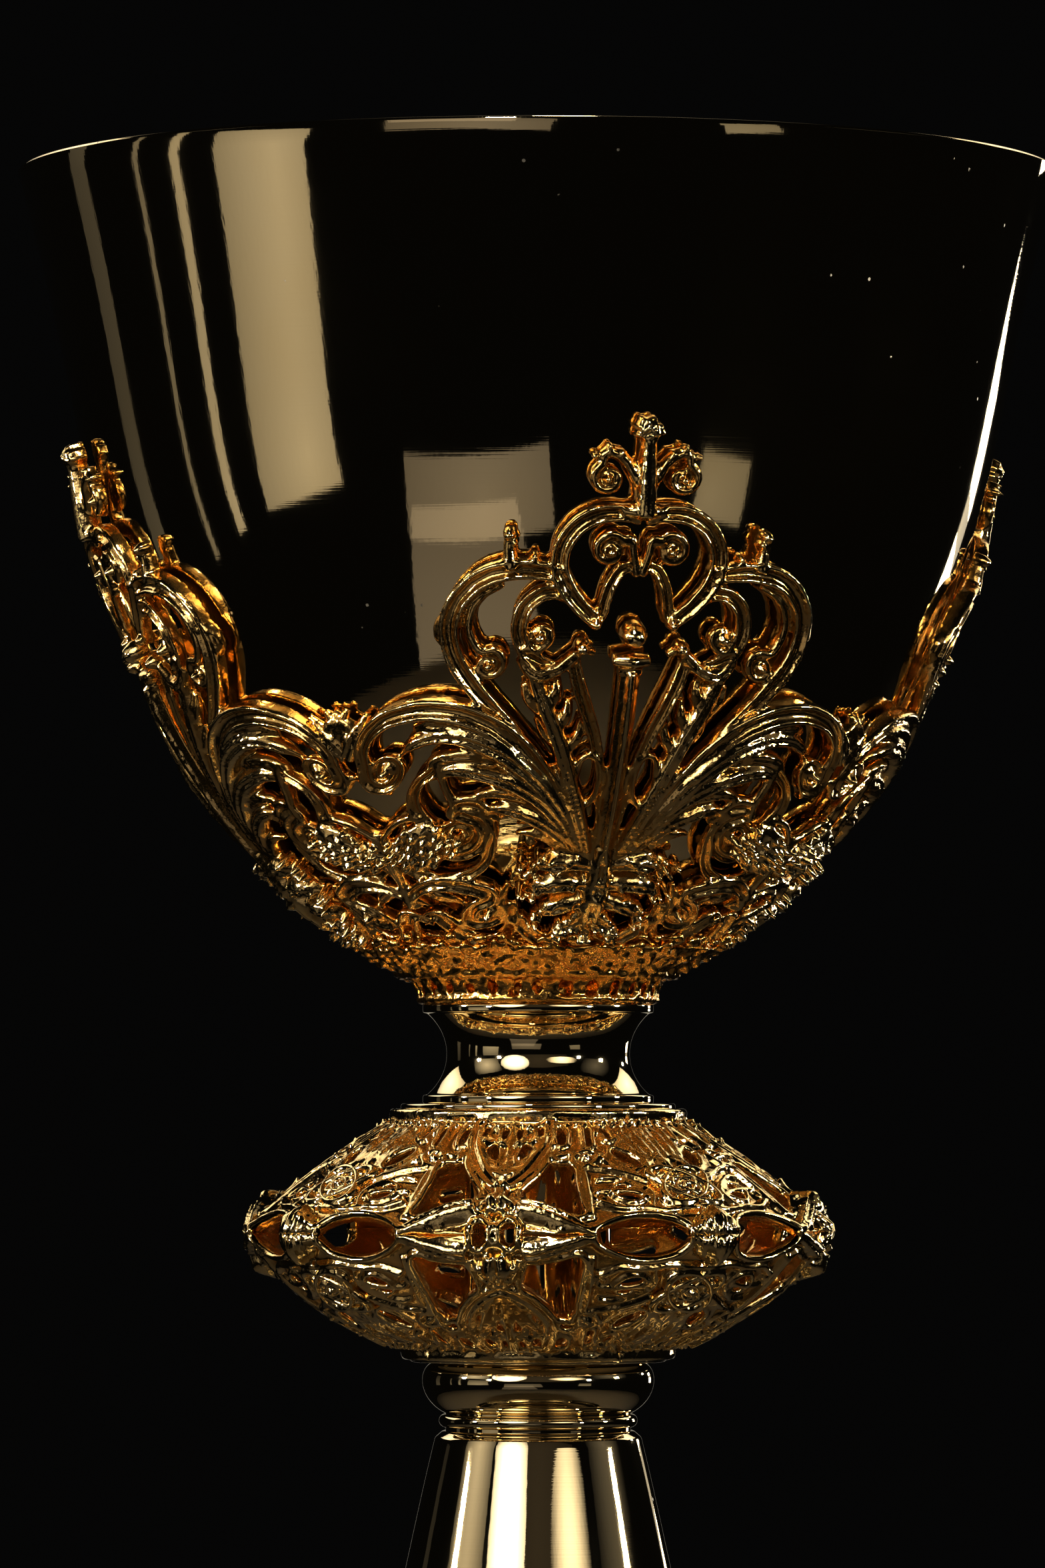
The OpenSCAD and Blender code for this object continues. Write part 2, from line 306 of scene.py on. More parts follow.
# The second colour is painted shade for the hollows of the castings.
CAST = cast_gilding("cast_gilding", (1.0, 0.76, 0.38), (0.86, 0.50, 0.14))


# %% [markdown]
# ### Raw brass and screw steel
# The fittings inside the stem aren't gilt. Brass keeps its turning marks and some brown tarnish, and the
# steel fasteners have the grey of a plated screw with dull patches.

# %% Plain metals
def plain_metal(name, colour, tarnish, gloss, stretch):
    material, shader = new_material(name, colour)
    where = node(material, "TexCoord").outputs["Object"]
    patch = noise(material, where, 190, 5)
    marks = noise(material, where, 1, 3, stretch=stretch)
    link(material, blend_colours(material, ranged(material, patch, 0.42, 0.7, 0, 1), colour, tarnish),
         shader.inputs["Base Color"])
    link(material, ranged(material, patch, 0.3, 0.7, *gloss), shader.inputs["Roughness"])
    bump = node(material, "Bump", [(marks, "Height")], Strength=0.12, Distance=0.00006)
    link(material, bump.outputs[0], shader.inputs["Normal"])
    return material


BRASS = plain_metal("raw_brass", (0.76, 0.60, 0.30), (0.42, 0.28, 0.11), (0.24, 0.42), (80, 80, 4200))
STEEL = plain_metal("screw_steel", (0.62, 0.63, 0.65), (0.36, 0.34, 0.32), (0.22, 0.40), (900, 900, 900))


# %% Hand a finished piece over to the frame
FINISHES = {"polished_gold": GILT, "cast_gold": CAST, "raw_brass": BRASS, "steel": STEEL}


def finish(piece, slot):
    piece.data.materials.clear()
    piece.data.materials.append(FINISHES[slot])


def place(piece, body, node_name, slot):
    finish(piece, slot)
    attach(piece, body)
    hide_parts(node_name)


# %% [markdown]
# ## The cup
# The cup is spun from sheet about a millimetre thick, polished and gilt inside and out. It is one
# closed skin: up the outside, over the small rounded lip, and down the inside.

# %% Cup
CUP_WALL = 0.9
LIP = 0.32
cup_outside = along(BELLY, 44) + along(SIDE, 60, start=0.02, end=0.992)
cup_inside = along(SIDE, 56, -CUP_WALL, 0.02, 0.99)[::-1] + along(BELLY, 40, -CUP_WALL)[::-1]
lip_arc = [(RIM_R - CUP_WALL / 2 + CUP_WALL / 2 * math.cos(a), RIM_Z - LIP + LIP * math.sin(a))
           for a in np.linspace(0, math.pi, 9)]
cup_section = [(0, 125.6)] + cup_outside + lip_arc + cup_inside + [(0, 125.6 + CUP_WALL)]
cup = turned("cup_polished", cup_section, closed=False, steps=256, edge=0)
place(cup, "cup", "cup_bowl", "polished_gold")

# %% [markdown]
# ## Collar, rings and foot
# The collar is a cotton-reel shape between the calyx and the knop. Under the knop come a plump
# ring, a neck with one round bead, and the bell of the foot, which ends in a stepped moulding and
# a round rim. Each section is drawn once and spun.

# %% Collar
ROD_HOLE = 3.3      # the hole round the tie rod
SOCKET_HOLE = 6.1   # the hole round the threaded socket
COLLAR_Z = 112.1
COLLAR_H = 10.4
COLLAR_LIP_R = 12.1
collar_waist = [(11.7, COLLAR_Z + 9.5), (8.9, COLLAR_Z + 7.1), (8.9, COLLAR_Z + 3.3),
                (11.7, COLLAR_Z + 0.9)]
collar_section = [(SOCKET_HOLE, COLLAR_Z), (SOCKET_HOLE, COLLAR_Z + 7), (8.6, COLLAR_Z + 7.4),
                  (8.6, COLLAR_Z + COLLAR_H),
                  (COLLAR_LIP_R, COLLAR_Z + COLLAR_H), (COLLAR_LIP_R, COLLAR_Z + 9.5)]
collar_section += along(collar_waist, 40) + [(COLLAR_LIP_R, COLLAR_Z + 0.9), (COLLAR_LIP_R, COLLAR_Z)]
collar = turned("collar_polished", collar_section, edge=0.22)
place(collar, "stem", "collar", "polished_gold")

# %% Stem ring and neck
RING_TOP = 85.1
NECK_TOP = 79.8
BELL_TOP = 77.9
ring_bulge = [(10.9, RING_TOP), (12.7, 84.6), (12.7, 81.3), (9.9, NECK_TOP)]
stem_ring = turned("stem_ring_polished", [(ROD_HOLE, RING_TOP)] + along(ring_bulge,
                                                                        40) + [(ROD_HOLE, NECK_TOP)])
place(stem_ring, "stem", "stem_ring", "polished_gold")
NECK_R = 9.7
BEAD = 0.7
BEAD_Z = 78.95
neck_section = [(ROD_HOLE, NECK_TOP), (NECK_R, NECK_TOP)]
neck_section += [(NECK_R + BEAD * math.cos(a), BEAD_Z + BEAD * math.sin(a))
                 for a in np.linspace(math.pi / 2, -math.pi / 2, 13)]
neck_ring = turned("neck_beads", neck_section + [(NECK_R, BELL_TOP), (ROD_HOLE, BELL_TOP)], edge=0)
place(neck_ring, "stem", "neck_ring", "polished_gold")

# %% Bell and rim of the foot
bell_curve = [(10.8, 77.2), (17, 52), (20, 20), (44, 11)]
bell_section = [(ROD_HOLE, BELL_TOP), (10, BELL_TOP)] + along(bell_curve, 90)
bell_section += [(44.6, 8.6), (46.4, 8.2)]
bell_section += along([(46.4, 8.2), (49.5, 7.6), (49, 4.8), (53.4, 4.6)], 14)[1:]
bell_section += along([(53.4, 4.6), (55, 4.6), (55.6, 4), (55.6, 3.2)], 8)[1:]
bell_section += [(52.8, 3.2), (48, 5.2), (45.4, 7)]
bell_section += along(bell_curve, 60, 1.2, 0.4, 0.99)[::-1]
bell_section += [(13.7, 60), (11.5, 60), (9.5, 74), (ROD_HOLE, 74)]
bell = turned("foot_bell_polished", bell_section, edge=0.16)
place(bell, "stem", "foot_bell", "polished_gold")
rim_section = [(52.2, 0), (52.2, 3.2)]
rim_section += [(56.4 + 1.6 * math.cos(a), 1.6 + 1.6 * math.sin(a))
                for a in np.linspace(math.pi / 2, -math.pi / 2, 17)]
foot_rim = turned("foot_rim_polished", rim_section, edge=0.15)
place(foot_rim, "stem", "foot_rim", "polished_gold")

# %% Caps and core of the knop
CORE_TOP = 110.3
CORE_FOOT = 86.9
upper_cap = turned("knop_cap_upper_polished", [(SOCKET_HOLE, CORE_TOP), (SOCKET_HOLE, COLLAR_Z),
                                               (14.4, COLLAR_Z), (14.4, 111.3),
                                               (12.4, 111.3), (12.4, CORE_TOP)], edge=0.25)
place(upper_cap, "stem", "knop_cap_upper", "polished_gold")
lower_cap = turned("knop_cap_lower_polished", [(ROD_HOLE, RING_TOP), (ROD_HOLE, CORE_FOOT),
                                               (11.5, CORE_FOOT), (11.5, 85.9),
                                               (13.4, 85.9), (13.4, RING_TOP)], edge=0.25)
place(lower_cap, "stem", "knop_cap_lower", "polished_gold")
core = turned("knop_core_tube", [(SOCKET_HOLE, CORE_FOOT), (SOCKET_HOLE, CORE_TOP), (7.7, CORE_TOP),
                                 (7.7, CORE_FOOT)], edge=0.15)
place(core, "stem", "knop_core", "polished_gold")


# %% [markdown]
# ## Openwork: drawn flat, cast, then bent
# A goldsmith models openwork flat in wax, casts it, chases it and bends it to the cup. The same
# order works in Blender. Each stem, leaf and scroll is a curve with a section of its own, drawn in
# the flat in millimetres: across is the way round the vessel, and up is the way along its profile.
# Where the real casting is a plate with holes, as on the knop, a thin sheet lies under the strokes
# and its openings are cut through it, each with a raised cord for a rim. The curves become meshes
# and run together in one voxel remesh, which gives the soft joints of a casting. Only then is the
# sheet bent onto the cup, by reading its flat place as angle and length.

# %% Sections that the strokes are drawn with
SECTIONS = {   # across and up, for a stroke one millimetre in half width
    "band": [(-1, 0), (-1, 1.2), (-.86, 1.62), (-.6, 1.62), (-.4, 1.12), (0, 1), (.4, 1.12), (.6, 1.62),
             (.86, 1.62), (1, 1.2), (1, 0)],
    "cord": [(-1, 0), (-1, 1.3), (-.72, 2.1), (-.3, 2.5), (.3, 2.5), (.72, 2.1), (1, 1.3), (1, 0)],
    "leaf": [(-1, 0), (-.98, .6), (-.7, 1.3), (-.32, 1.72), (0, 1.25), (.32, 1.72), (.7, 1.3), (.98, .6),
             (1, 0)],
    "rib": [(-1, 0), (-1, .9), (-.5, 1.3), (-.16, 2), (.16, 2), (.5, 1.3), (1, .9), (1, 0)],
    "plate": [(-1, 0), (-1, .5), (-.8, .62), (.8, .62), (1, .5), (1, 0)],
}


def section_curve(kind):
    data = bpy.data.curves.new("section_" + kind, "CURVE")
    spline = data.splines.new("POLY")
    spline.points.add(len(SECTIONS[kind]) - 1)
    for point, (across, up) in zip(spline.points, SECTIONS[kind]):
        point.co = (across, up, 0, 1)
    spline.use_cyclic_u = True
    drawn = added("section_" + kind, data)
    return drawn


section_objects = {kind: section_curve(kind) for kind in SECTIONS}


# %% [markdown]
# A skin is the surface that a casting is bent onto: the profile's points, its outward normals, and
# the length along it. Lengths are measured halfway through the casting, so that the drawing keeps
# its proportions when it is bent.

# %% Skins
def skin_of(curves, lift, skip=0.0, outward=1, lead=()):
    points, normals = [np.array(p, float) for p in lead], [np.array((1.0, 0.0)) for p in lead]
    for curve in curves:
        for t in np.linspace(0.001, 0.999, 240):
            way = bezier_way(curve, t)
            points.append(bezier(curve, t))
            normals.append(outward * np.array([way[1], -way[0]]))
    points, normals = np.array(points), np.array(normals)
    middle = points + lift * normals
    steps = np.hypot(*np.diff(middle, axis=0).T)
    length = np.concatenate([[0], np.cumsum(steps)]) - skip
    return {"length": length, "point": points, "normal": normals, "middle_r": middle[:, 0],
            "outward": outward}


CUP_SKIN = skin_of([BELLY, SIDE], lift=1.6, skip=0.8)


def flat(skin, degrees, length):
    return np.array([math.radians(degrees) * np.interp(length, skin["length"], skin["middle_r"]), length])


# %% Strokes, volutes and beads on a flat board
def new_board(skin):
    return {"skin": skin, "strokes": [], "beads": [], "openings": [], "sheet": None}


def volute(centre, radius, start, turns, hand, inner=0.24):
    """Points of a scroll that winds in round a centre, from an angle in degrees."""
    count = max(6, int(turns * 8))
    points = []
    for i in range(count + 1):
        angle = math.radians(start) + hand * math.tau * turns * i / count
        reach = radius * (1 - (1 - inner) * i / count)
        points.append(np.array(centre) + reach * np.array([math.cos(angle), math.sin(angle)]))
    return points


def halves(degrees):
    """Both halves of the board, or one where something stands on its middle line."""
    return (1,) if abs(degrees) < 0.001 else (1, -1)


def draw(board, kind, points, widths, curl=None, lift=0.0):
    """A stroke on both halves of the board, or one if it runs up the middle.
    Lift raises it off the bed."""
    line = [np.append(flat(board["skin"], *point[:2]), lift) for point in points]
    widths = list(np.interp(np.linspace(0, 1, len(line)), np.linspace(0, 1, len(widths)), widths))
    if curl:
        centre, radius, start, turns, hand = curl
        scroll = volute(flat(board["skin"], *centre), radius, start, turns, hand)
        widths += list(np.linspace(widths[-1], widths[-1] * 0.62, len(scroll)))
        line += [np.append(point, lift) for point in scroll]
    for side in halves(max(abs(point[0]) for point in points)):
        board["strokes"].append((kind, [point * (side, 1, 1) for point in line], widths))


def loop(board, kind, degrees, length, radii, width, lift=0.0):
    """A closed ring about a point, on both halves of the board."""
    centre = flat(board["skin"], degrees, length)
    for side in halves(degrees):
        ring = [((centre[0] + radii[0] * math.cos(a)) * side, centre[1] + radii[1] * math.sin(a), lift)
                for a in np.linspace(0, math.tau, 15)]
        board["strokes"].append((kind, ring, [width] * len(ring)))


def opening(board, points, rim=0.0):
    """A hole through the sheet, on both halves of the board, with a raised cord for its rim."""
    board["openings"].append([flat(board["skin"], *point) for point in points])
    if rim:
        draw(board, "cord", points + points[:1], [rim, rim], lift=board["sheet"]["thick"] - 0.15)


def bead(board, degrees, length, radius, height):
    spot = flat(board["skin"], degrees, length)
    for side in halves(degrees):
        board["beads"].append((spot[0] * side, spot[1], radius, height))


def berries(board, degrees, length, spread, count, radius, height):
    """A domed cluster of beads, set out like seeds in a sunflower."""
    centre = flat(board["skin"], degrees, length)
    for i in range(count):
        reach = math.sqrt((i + 0.5) / count)
        angle = i * math.radians(137.5)
        x = centre[0] + reach * spread[0] * math.cos(angle)
        y = centre[1] + reach * spread[1] * math.sin(angle)
        for side in halves(degrees):
            board["beads"].append((x * side, y, radius * (1.1 - 0.3 * reach),
                                   height * (1.15 - 0.4 * reach)))


# %% [markdown]
# The board becomes one casting. Curves of the same section share one curve object, whose point
# radius is the stroke's half width. Beads are copies of one small ball. After the remesh a light
# smoothing rounds the voxel steps, and a displacement by clouds gives the uneven skin of a casting.

# %% Cast a board
def ball_mesh():
    bpy.ops.mesh.primitive_ico_sphere_add(subdivisions=2, radius=1)
    ball = bpy.context.object
    points = np.array([vertex.co[:] for vertex in ball.data.vertices])
    faces = [tuple(face.vertices) for face in ball.data.polygons]
    bpy.data.objects.remove(ball)
    return points, faces


BALL_POINTS, BALL_FACES = ball_mesh()


def balls(name, clusters):
    """One object from many copies of the ball, each given by its own points."""
    count = len(BALL_POINTS)
    faces = [tuple(i + k * count for i in face) for k in range(len(clusters)) for face in BALL_FACES]
    mesh = bpy.data.meshes.new(name)
    mesh.from_pydata(np.vstack(clusters).tolist(), [], faces)
    return added(name, mesh)


def slab(name, outline, bottom, top, rounded):
    """A filled flat outline with thickness."""
    data = bpy.data.curves.new(name, "CURVE")
    data.dimensions = "2D"
    data.fill_mode = "BOTH"
    data.extrude = (top - bottom) / 2
    data.resolution_u = 5
    spline = data.splines.new("BEZIER")
    spline.use_cyclic_u = True
    spline.bezier_points.add(len(outline) - 1)
    for point, spot in zip(spline.bezier_points, outline):
        point.co = (spot[0], spot[1], 0)
        point.handle_left_type = point.handle_right_type = "AUTO" if rounded else "VECTOR"
    piece = added(name, data)
    only(piece)
    bpy.ops.object.convert(target="MESH")
    piece = bpy.context.object
    for vertex in piece.data.vertices:
        vertex.co.z += (top + bottom) / 2
    return piece


def pierced_sheet(board, name):
    """The board's sheet with its openings cut through, first on one half and then on the other."""
    sheet = board["sheet"]
    rows = np.linspace(0, sheet["length"], 24)
    edge = [flat(board["skin"], sheet["degrees"], row) for row in rows]
    outline = edge + [point * (-1, 1) for point in edge[::-1]]
    plate = slab(name + "_sheet", outline, 0, sheet["thick"], False)
    for side in (1, -1):
        cutters = [slab(name + "_cutter", [point * (side, 1) for point in hole], -1, 3, True)
                   for hole in board["openings"]]
        cutter = join(cutters, name + "_cutters")
        apply(plate, "BOOLEAN", operation="DIFFERENCE", object=cutter, solver="EXACT")
        bpy.data.objects.remove(cutter)
    return plate


def cast(board, name, voxel, most, rough_size=0.8):
    parts = [pierced_sheet(board, name)] if board["sheet"] else []
    for kind in SECTIONS:
        strokes = [stroke for stroke in board["strokes"] if stroke[0] == kind]
        if not strokes:
            continue
        data = bpy.data.curves.new(name + "_" + kind, "CURVE")
        data.dimensions = "3D"
        data.twist_mode = "Z_UP"
        data.bevel_mode = "OBJECT"
        data.bevel_object = section_objects[kind]
        data.use_fill_caps = True
        data.resolution_u = 7
        for _, line, widths in strokes:
            spline = data.splines.new("BEZIER")
            spline.radius_interpolation = "CARDINAL"
            spline.bezier_points.add(len(line) - 1)
            for point, spot, width in zip(spline.bezier_points, line, widths):
                point.co = tuple(spot)
                point.handle_left_type = point.handle_right_type = "AUTO"
                point.radius = width
        drawn = added(name + "_" + kind, data)
        only(drawn)
        bpy.ops.object.convert(target="MESH")
        parts.append(bpy.context.object)
    if board["beads"]:
        clusters = []
        for x, y, radius, height in board["beads"]:
            ball = BALL_POINTS * (radius, radius, height)
            ball[:, 2] = np.maximum(ball[:, 2], 0)
            clusters.append(ball + (x, y, 0))
        parts.append(balls(name + "_beads", clusters))
    casting = join(parts, name)
    apply(casting, "REMESH", mode="VOXEL", voxel_size=voxel)
    apply(casting, "SMOOTH", factor=0.5, iterations=2)
    clouds = bpy.data.textures.new(name + "_skin", "CLOUDS")
    clouds.noise_scale = rough_size
    clouds.noise_depth = 3
    apply(casting, "DISPLACE", texture=clouds, strength=0.10, mid_level=0.5)
    before = triangles(casting)
    if before > most:
        apply(casting, "DECIMATE", ratio=most / before)
    print(name, "-", before, "triangles, thinned to", triangles(casting))
    return casting


# %% Bend a casting onto its skin
def bend(casting, skin, turn, gap, full_height=3.2):
    """Reads the flat place of each point as an angle and a length along the skin."""
    mesh = casting.data
    flat_places = np.empty(len(mesh.vertices) * 3)
    mesh.vertices.foreach_get("co", flat_places)
    x, y, height = flat_places.reshape(-1, 3).T
    middle_r = np.interp(y, skin["length"], skin["middle_r"])
    profile = np.stack([np.interp(y, skin["length"], skin["point"][:, i]) for i in (0, 1)], 1)
    normal = np.stack([np.interp(y, skin["length"], skin["normal"][:, i]) for i in (0, 1)], 1)
    radius, z = (profile + normal * (gap + height)[:, None]).T
    angle = x / middle_r + math.radians(turn)
    places = np.stack([radius * np.sin(angle), -radius * np.cos(angle), z], 1) * MM
    mesh.vertices.foreach_set("co", places.ravel())
    # Relief is the height above the bed; the cast finish uses it to paint shade, darker the lower a point
    # lies.
    relief = mesh.attributes.new("relief", "FLOAT", "POINT")
    relief.data.foreach_set("value", np.clip(height / full_height, 0, 1))
    if skin["outward"] < 0:
        mesh.flip_normals()
    mesh.update()
    only(casting)
    bpy.ops.object.shade_smooth()


def turned_copy(piece, name, degrees):
    copy = piece.copy()
    copy.data = piece.data.copy()
    copy.name = copy.data.name = name
    scene.collection.objects.link(copy)
    places = np.empty(len(copy.data.vertices) * 3)
    copy.data.vertices.foreach_get("co", places)
    places = places.reshape(-1, 3)
    c, s = math.cos(math.radians(degrees)), math.sin(math.radians(degrees))
    spun = np.stack([places[:, 0] * c - places[:, 1] * s, places[:, 0] * s + places[:, 1] * c,
                     places[:, 2]], 1)
    copy.data.vertices.foreach_set("co", spun.ravel())
    copy.data.update()
    return copy


# %% [markdown]
# ## The calyx's drawing
# One casting is a palmette between two wings, the same on both sides of its middle. Points are
# degrees from the middle and millimetres up from the base. The drawing goes from the tip down.

# %% Finial and lyre
calyx = new_board(CUP_SKIN)
draw(calyx, "cord", [(0, 70.6), (0, 66.4), (0, 62)], [.8, .95, 1.1])
draw(calyx, "cord", [(.4, 64), (1.5, 66), (3.2, 67.9), (5.2, 68.1)], [.55, .6, .62, .55],
    ((4.5, 65.7), 1.75, 66, 1.2, -1))
draw(calyx, "cord", [(0, 62.4), (2.9, 62.4)], [.9, .6])
berries(calyx, 0, 70.7, (1.5, 1.25), 16, .52, 2.6)
for crest in ((3, 68.3), (4.6, 68.9), (6.3, 68)):
    bead(calyx, *crest, .42, 1.9)
bead(calyx, 4.6, 65.6, .62, 1.9)
draw(calyx, "band", [(.2, 61.7), (3.5, 62.2), (6.8, 61.6), (9.3, 59.7), (10.3, 57.2), (9.6, 54.8),
    (7.9, 52.8), (6, 51.2), (5.2, 50.4)], [.8, .95, 1.0, 1.0, .95, .95, .9, .8, .6])
draw(calyx, "band", [(.2, 56.2), (1.9, 56.4), (3.3, 55), (4.1, 53.2), (4.5, 51.6), (5.2, 50.5)],
    [.55, .6, .65, .65, .6, .5])
draw(calyx, "cord", [(.3, 55.6), (.9, 57.6), (1.8, 59.6)], [.5, .55, .6],
    ((3.9, 58.3), 1.85, 150, 1.35, -1))
bead(calyx, 3.9, 58.2, .65, 2.1)
bead(calyx, 5.3, 50.5, .75, 2.0)
bead(calyx, 0, 62.6, .95, 2.8)

# %% Shoulders
draw(calyx, "band", [(9.8, 55.6), (12.8, 56.2), (16.2, 56.3), (19.6, 55.7), (22.4, 54.1), (24.4, 51.8),
    (25, 49.4), (24.4, 46.8), (22.6, 44.2), (20, 41.6), (16.6, 38.6), (12.8, 34.6), (9.4, 30.2),
    (6.6, 26.4), (4.4, 23)], [.8, 1.0, 1.1, 1.15, 1.15, 1.1, 1.0, 1.0, .95, .9, .85, .8, .75, .65, .6])
draw(calyx, "leaf", [(23.6, 52.4), (26.6, 49.8), (24.4, 47.2)], [.6, .65, .5])
draw(calyx, "cord", [(16.4, 56.4), (16.6, 59.2)], [.8, .6])
draw(calyx, "cord", [(17.4, 54.6), (20.6, 53.2), (22.2, 50.8), (21.9, 48.8)], [.35, .5, .55, .55],
    ((19.9, 46.1), 1.75, 60, 1.5, 1))
bead(calyx, 16.5, 60, .8, 2.2)
bead(calyx, 15.9, 59.2, .5, 2)
bead(calyx, 13.4, 57.6, .55, 1.9)
bead(calyx, 19.9, 46.1, .65, 2.1)

# %% Inner scrolls and the trefoil
draw(calyx, "band", [(8.8, 53.2), (11.4, 53.9), (13.9, 53), (15.4, 50.8), (15.2, 48.4), (13.7, 46.8),
    (11.6, 46)], [.65, .8, .9, .9, .85, .8, .6])
draw(calyx, "cord", [(15, 48), (13.6, 47.6)], [.5, .5], ((12.8, 49.2), 1.2, 220, 1, -1))
bead(calyx, 12.8, 49.1, .8, 2.2)
draw(calyx, "leaf", [(15.6, 47), (13.4, 45.2), (10.8, 45.4), (8.6, 46.6), (6.9, 47.8)],
    [.7, .95, .9, .8, .7])
draw(calyx, "cord", [(7.2, 48), (5.1, 47.2)], [.6, .4])
bead(calyx, 7, 48, .95, 2.3)

# %% Ribs, leaf and torch
draw(calyx, "band", [(8, 46.6), (7.4, 44.4), (5.9, 41.2), (4.2, 37.8), (2.8, 33.6), (1.9, 28.8),
    (1.2, 23.6)], [.6, .75, .75, .65, .55, .5, .5])
draw(calyx, "leaf", [(14, 45.6), (12.2, 41.8), (9.8, 37.4), (7.8, 33), (5.4, 28), (3, 23)],
    [.85, 1, 1.05, 1, .9, .7])
for lobe in ([(10.2, 38.6), (8.8, 40.6), (8.6, 42.4)], [(9, 36.2), (7, 38), (6.6, 40)],
             [(11.6, 41), (10.4, 43.2), (10.6, 44.8)],
             [(11.8, 40.2), (14.4, 42.4), (15.2, 44)], [(9.9, 36.6), (12.2, 38.8), (13.4, 40.2)]):
    draw(calyx, "leaf", lobe, [.65, .7, .35])
draw(calyx, "cord", [(2.9, 33), (3.6, 35.4), (5.2, 35.9), (6.6, 34), (6.4, 31.4), (5, 30), (3.6, 30.8),
    (2.9, 33)], [.42, .42])
draw(calyx, "rib", [(0, 45.6), (0, 40), (0, 32), (0, 23)], [1.1, 1.05, .95, .95])
draw(calyx, "cord", [(0, 46.6), (2.7, 46.6)], [.85, .6])
draw(calyx, "cord", [(0, 45.5), (1.7, 45.5)], [.7, .5])
bead(calyx, 0, 49.4, 1.5, 2.9)

# %% Wing
draw(calyx, "band", [(4.6, 23.6), (8.2, 29), (12.2, 34), (16.4, 37.7), (21.4, 40.2), (27.4, 41.4),
    (33.2, 41.1), (38.2, 39.6), (41.6, 37), (42.2, 34.6)],
    [.6, .85, 1.0, 1.15, 1.2, 1.2, 1.15, 1.05, .95, .85], ((38.9, 34.2), 2.1, -10, 1.35, -1))
bead(calyx, 38.9, 34.2, .7, 2.1)
WING_LEAVES = [
    ([(4.8, 23.6), (9.4, 29.6), (15, 34.4), (21.6, 37.6), (28, 38.4), (33.2, 37.2), (35.4, 36)],
     [.7, 1, 1.2, 1.3, 1.1, .85, .4]),
    ([(18, 36.4), (24, 39.2), (29.6, 39.6), (32.6, 39)], [.6, .95, .85, .4]),
    ([(4.8, 23.4), (9.2, 28), (15.2, 32), (22, 34), (28, 34.2), (31, 33)], [.7, .95, 1.15, 1.15, .9, .4]),
    ([(20, 35.4), (26, 36), (30.2, 35.2), (31.6, 34)], [.6, .85, .7, .3]),
    ([(5, 23), (9.6, 26.4), (15, 28.8), (19.4, 29.6), (22.6, 29)], [.6, .9, 1, .85, .4]),
    ([(12, 29.4), (18, 31.4), (23, 31.2), (25, 30.2)], [.6, .85, .7, .3]),
    ([(5, 22.8), (9, 24.6), (13.6, 26.2), (17.4, 26)], [.6, .7, .65, .3]),
]
for points, widths in WING_LEAVES:
    draw(calyx, "leaf", points, widths)
draw(calyx, "leaf", [(45, 36), (47.4, 38.2), (50.4, 40.6)], [.9, .9, .35])
draw(calyx, "leaf", [(45, 37.6), (45.6, 39.6), (47, 41.2)], [.7, .7, .35])
draw(calyx, "leaf", [(42, 38.6), (44, 39.8), (45.4, 41)], [.7, .7, .35])
draw(calyx, "cord", [(38.6, 31.6), (42, 32.4), (45, 33.6)], [.45, .4, .4])

# %% Link stems, fruit and the scroll beside it
draw(calyx, "band", [(28.4, 35.6), (30.8, 34), (33.6, 32.6), (35.2, 30.6), (34.6, 28.6), (33, 27.4)],
    [.7, .75, .75, .8, .8, .7])
draw(calyx, "cord", [(29.4, 35), (28.8, 32.4), (28, 30), (28.6, 28.6)], [.55, .55, .55, .5])
draw(calyx, "cord", [(28.6, 30.4), (24.6, 30.8), (21.6, 29)], [.5, .5, .4])
draw(calyx, "band", [(19.6, 28), (22, 29.2), (25, 29.9), (28.4, 29.4)], [.5, .6, .7, .75],
    ((28.4, 25.7), 3.0, 95, 1.8, 1))
bead(calyx, 28.4, 25.7, .8, 2.4)
draw(calyx, "band", [(22.2, 28), (22.4, 25), (24.6, 22.2), (29, 20.7), (34.6, 20.4), (39.6, 21),
    (44.6, 22.8)], [.5, .7, .75, .8, .8, .75, .6])
draw(calyx, "plate", [(32.6, 25), (37, 24.8), (42.4, 23.8)], [2.8, 3.1, 1.8])
draw(calyx, "cord", [(33.4, 28.4), (37.8, 28.4), (42, 27), (46.4, 24)], [.5, .55, .55, .5])
berries(calyx, 37, 24.7, (4.1, 2.9), 28, .72, 2.9)
berries(calyx, 43.6, 23.8, (1.7, 1.1), 8, .55, 2.0)

# %% Lower scroll, bow and base band
draw(calyx, "band", [(47.6, 16.2), (44, 18), (39.6, 19.4), (34, 19.9), (28.8, 19.2), (24.6, 17.4)],
    [.8, .95, 1.05, 1.1, 1.0, .95], ((26.4, 14.8), 2.0, 40, 1.4, -1))
bead(calyx, 26.4, 14.8, .65, 2.3)
draw(calyx, "leaf", [(41, 18.4), (36, 17.2), (32.4, 15.8)], [.7, .75, .35])
draw(calyx, "cord", [(45, 16.6), (45, 19.4), (45.4, 22.8), (45, 26.4)], [.8, .6, .6, .4])
BOW = [([(2, 22), (7, 22.8), (11, 22.6), (14.6, 21.6)], [.9, 1.25, 1.2, .6]),
       ([(2, 19.4), (7, 20), (12, 19.6), (15.6, 18.2)], [1, 1.35, 1.3, .6]),
       ([(2, 17), (7, 16.8), (11.4, 15.8), (14, 14)], [1, 1.35, 1.2, .6]),
       ([(1, 15.6), (4, 14), (7.4, 12.6), (9, 11.4)], [1, 1.2, 1, .5]),
       ([(0, 24.6), (0, 20), (0, 15), (0, 11.6)], [1, 1.5, 1.5, .8])]
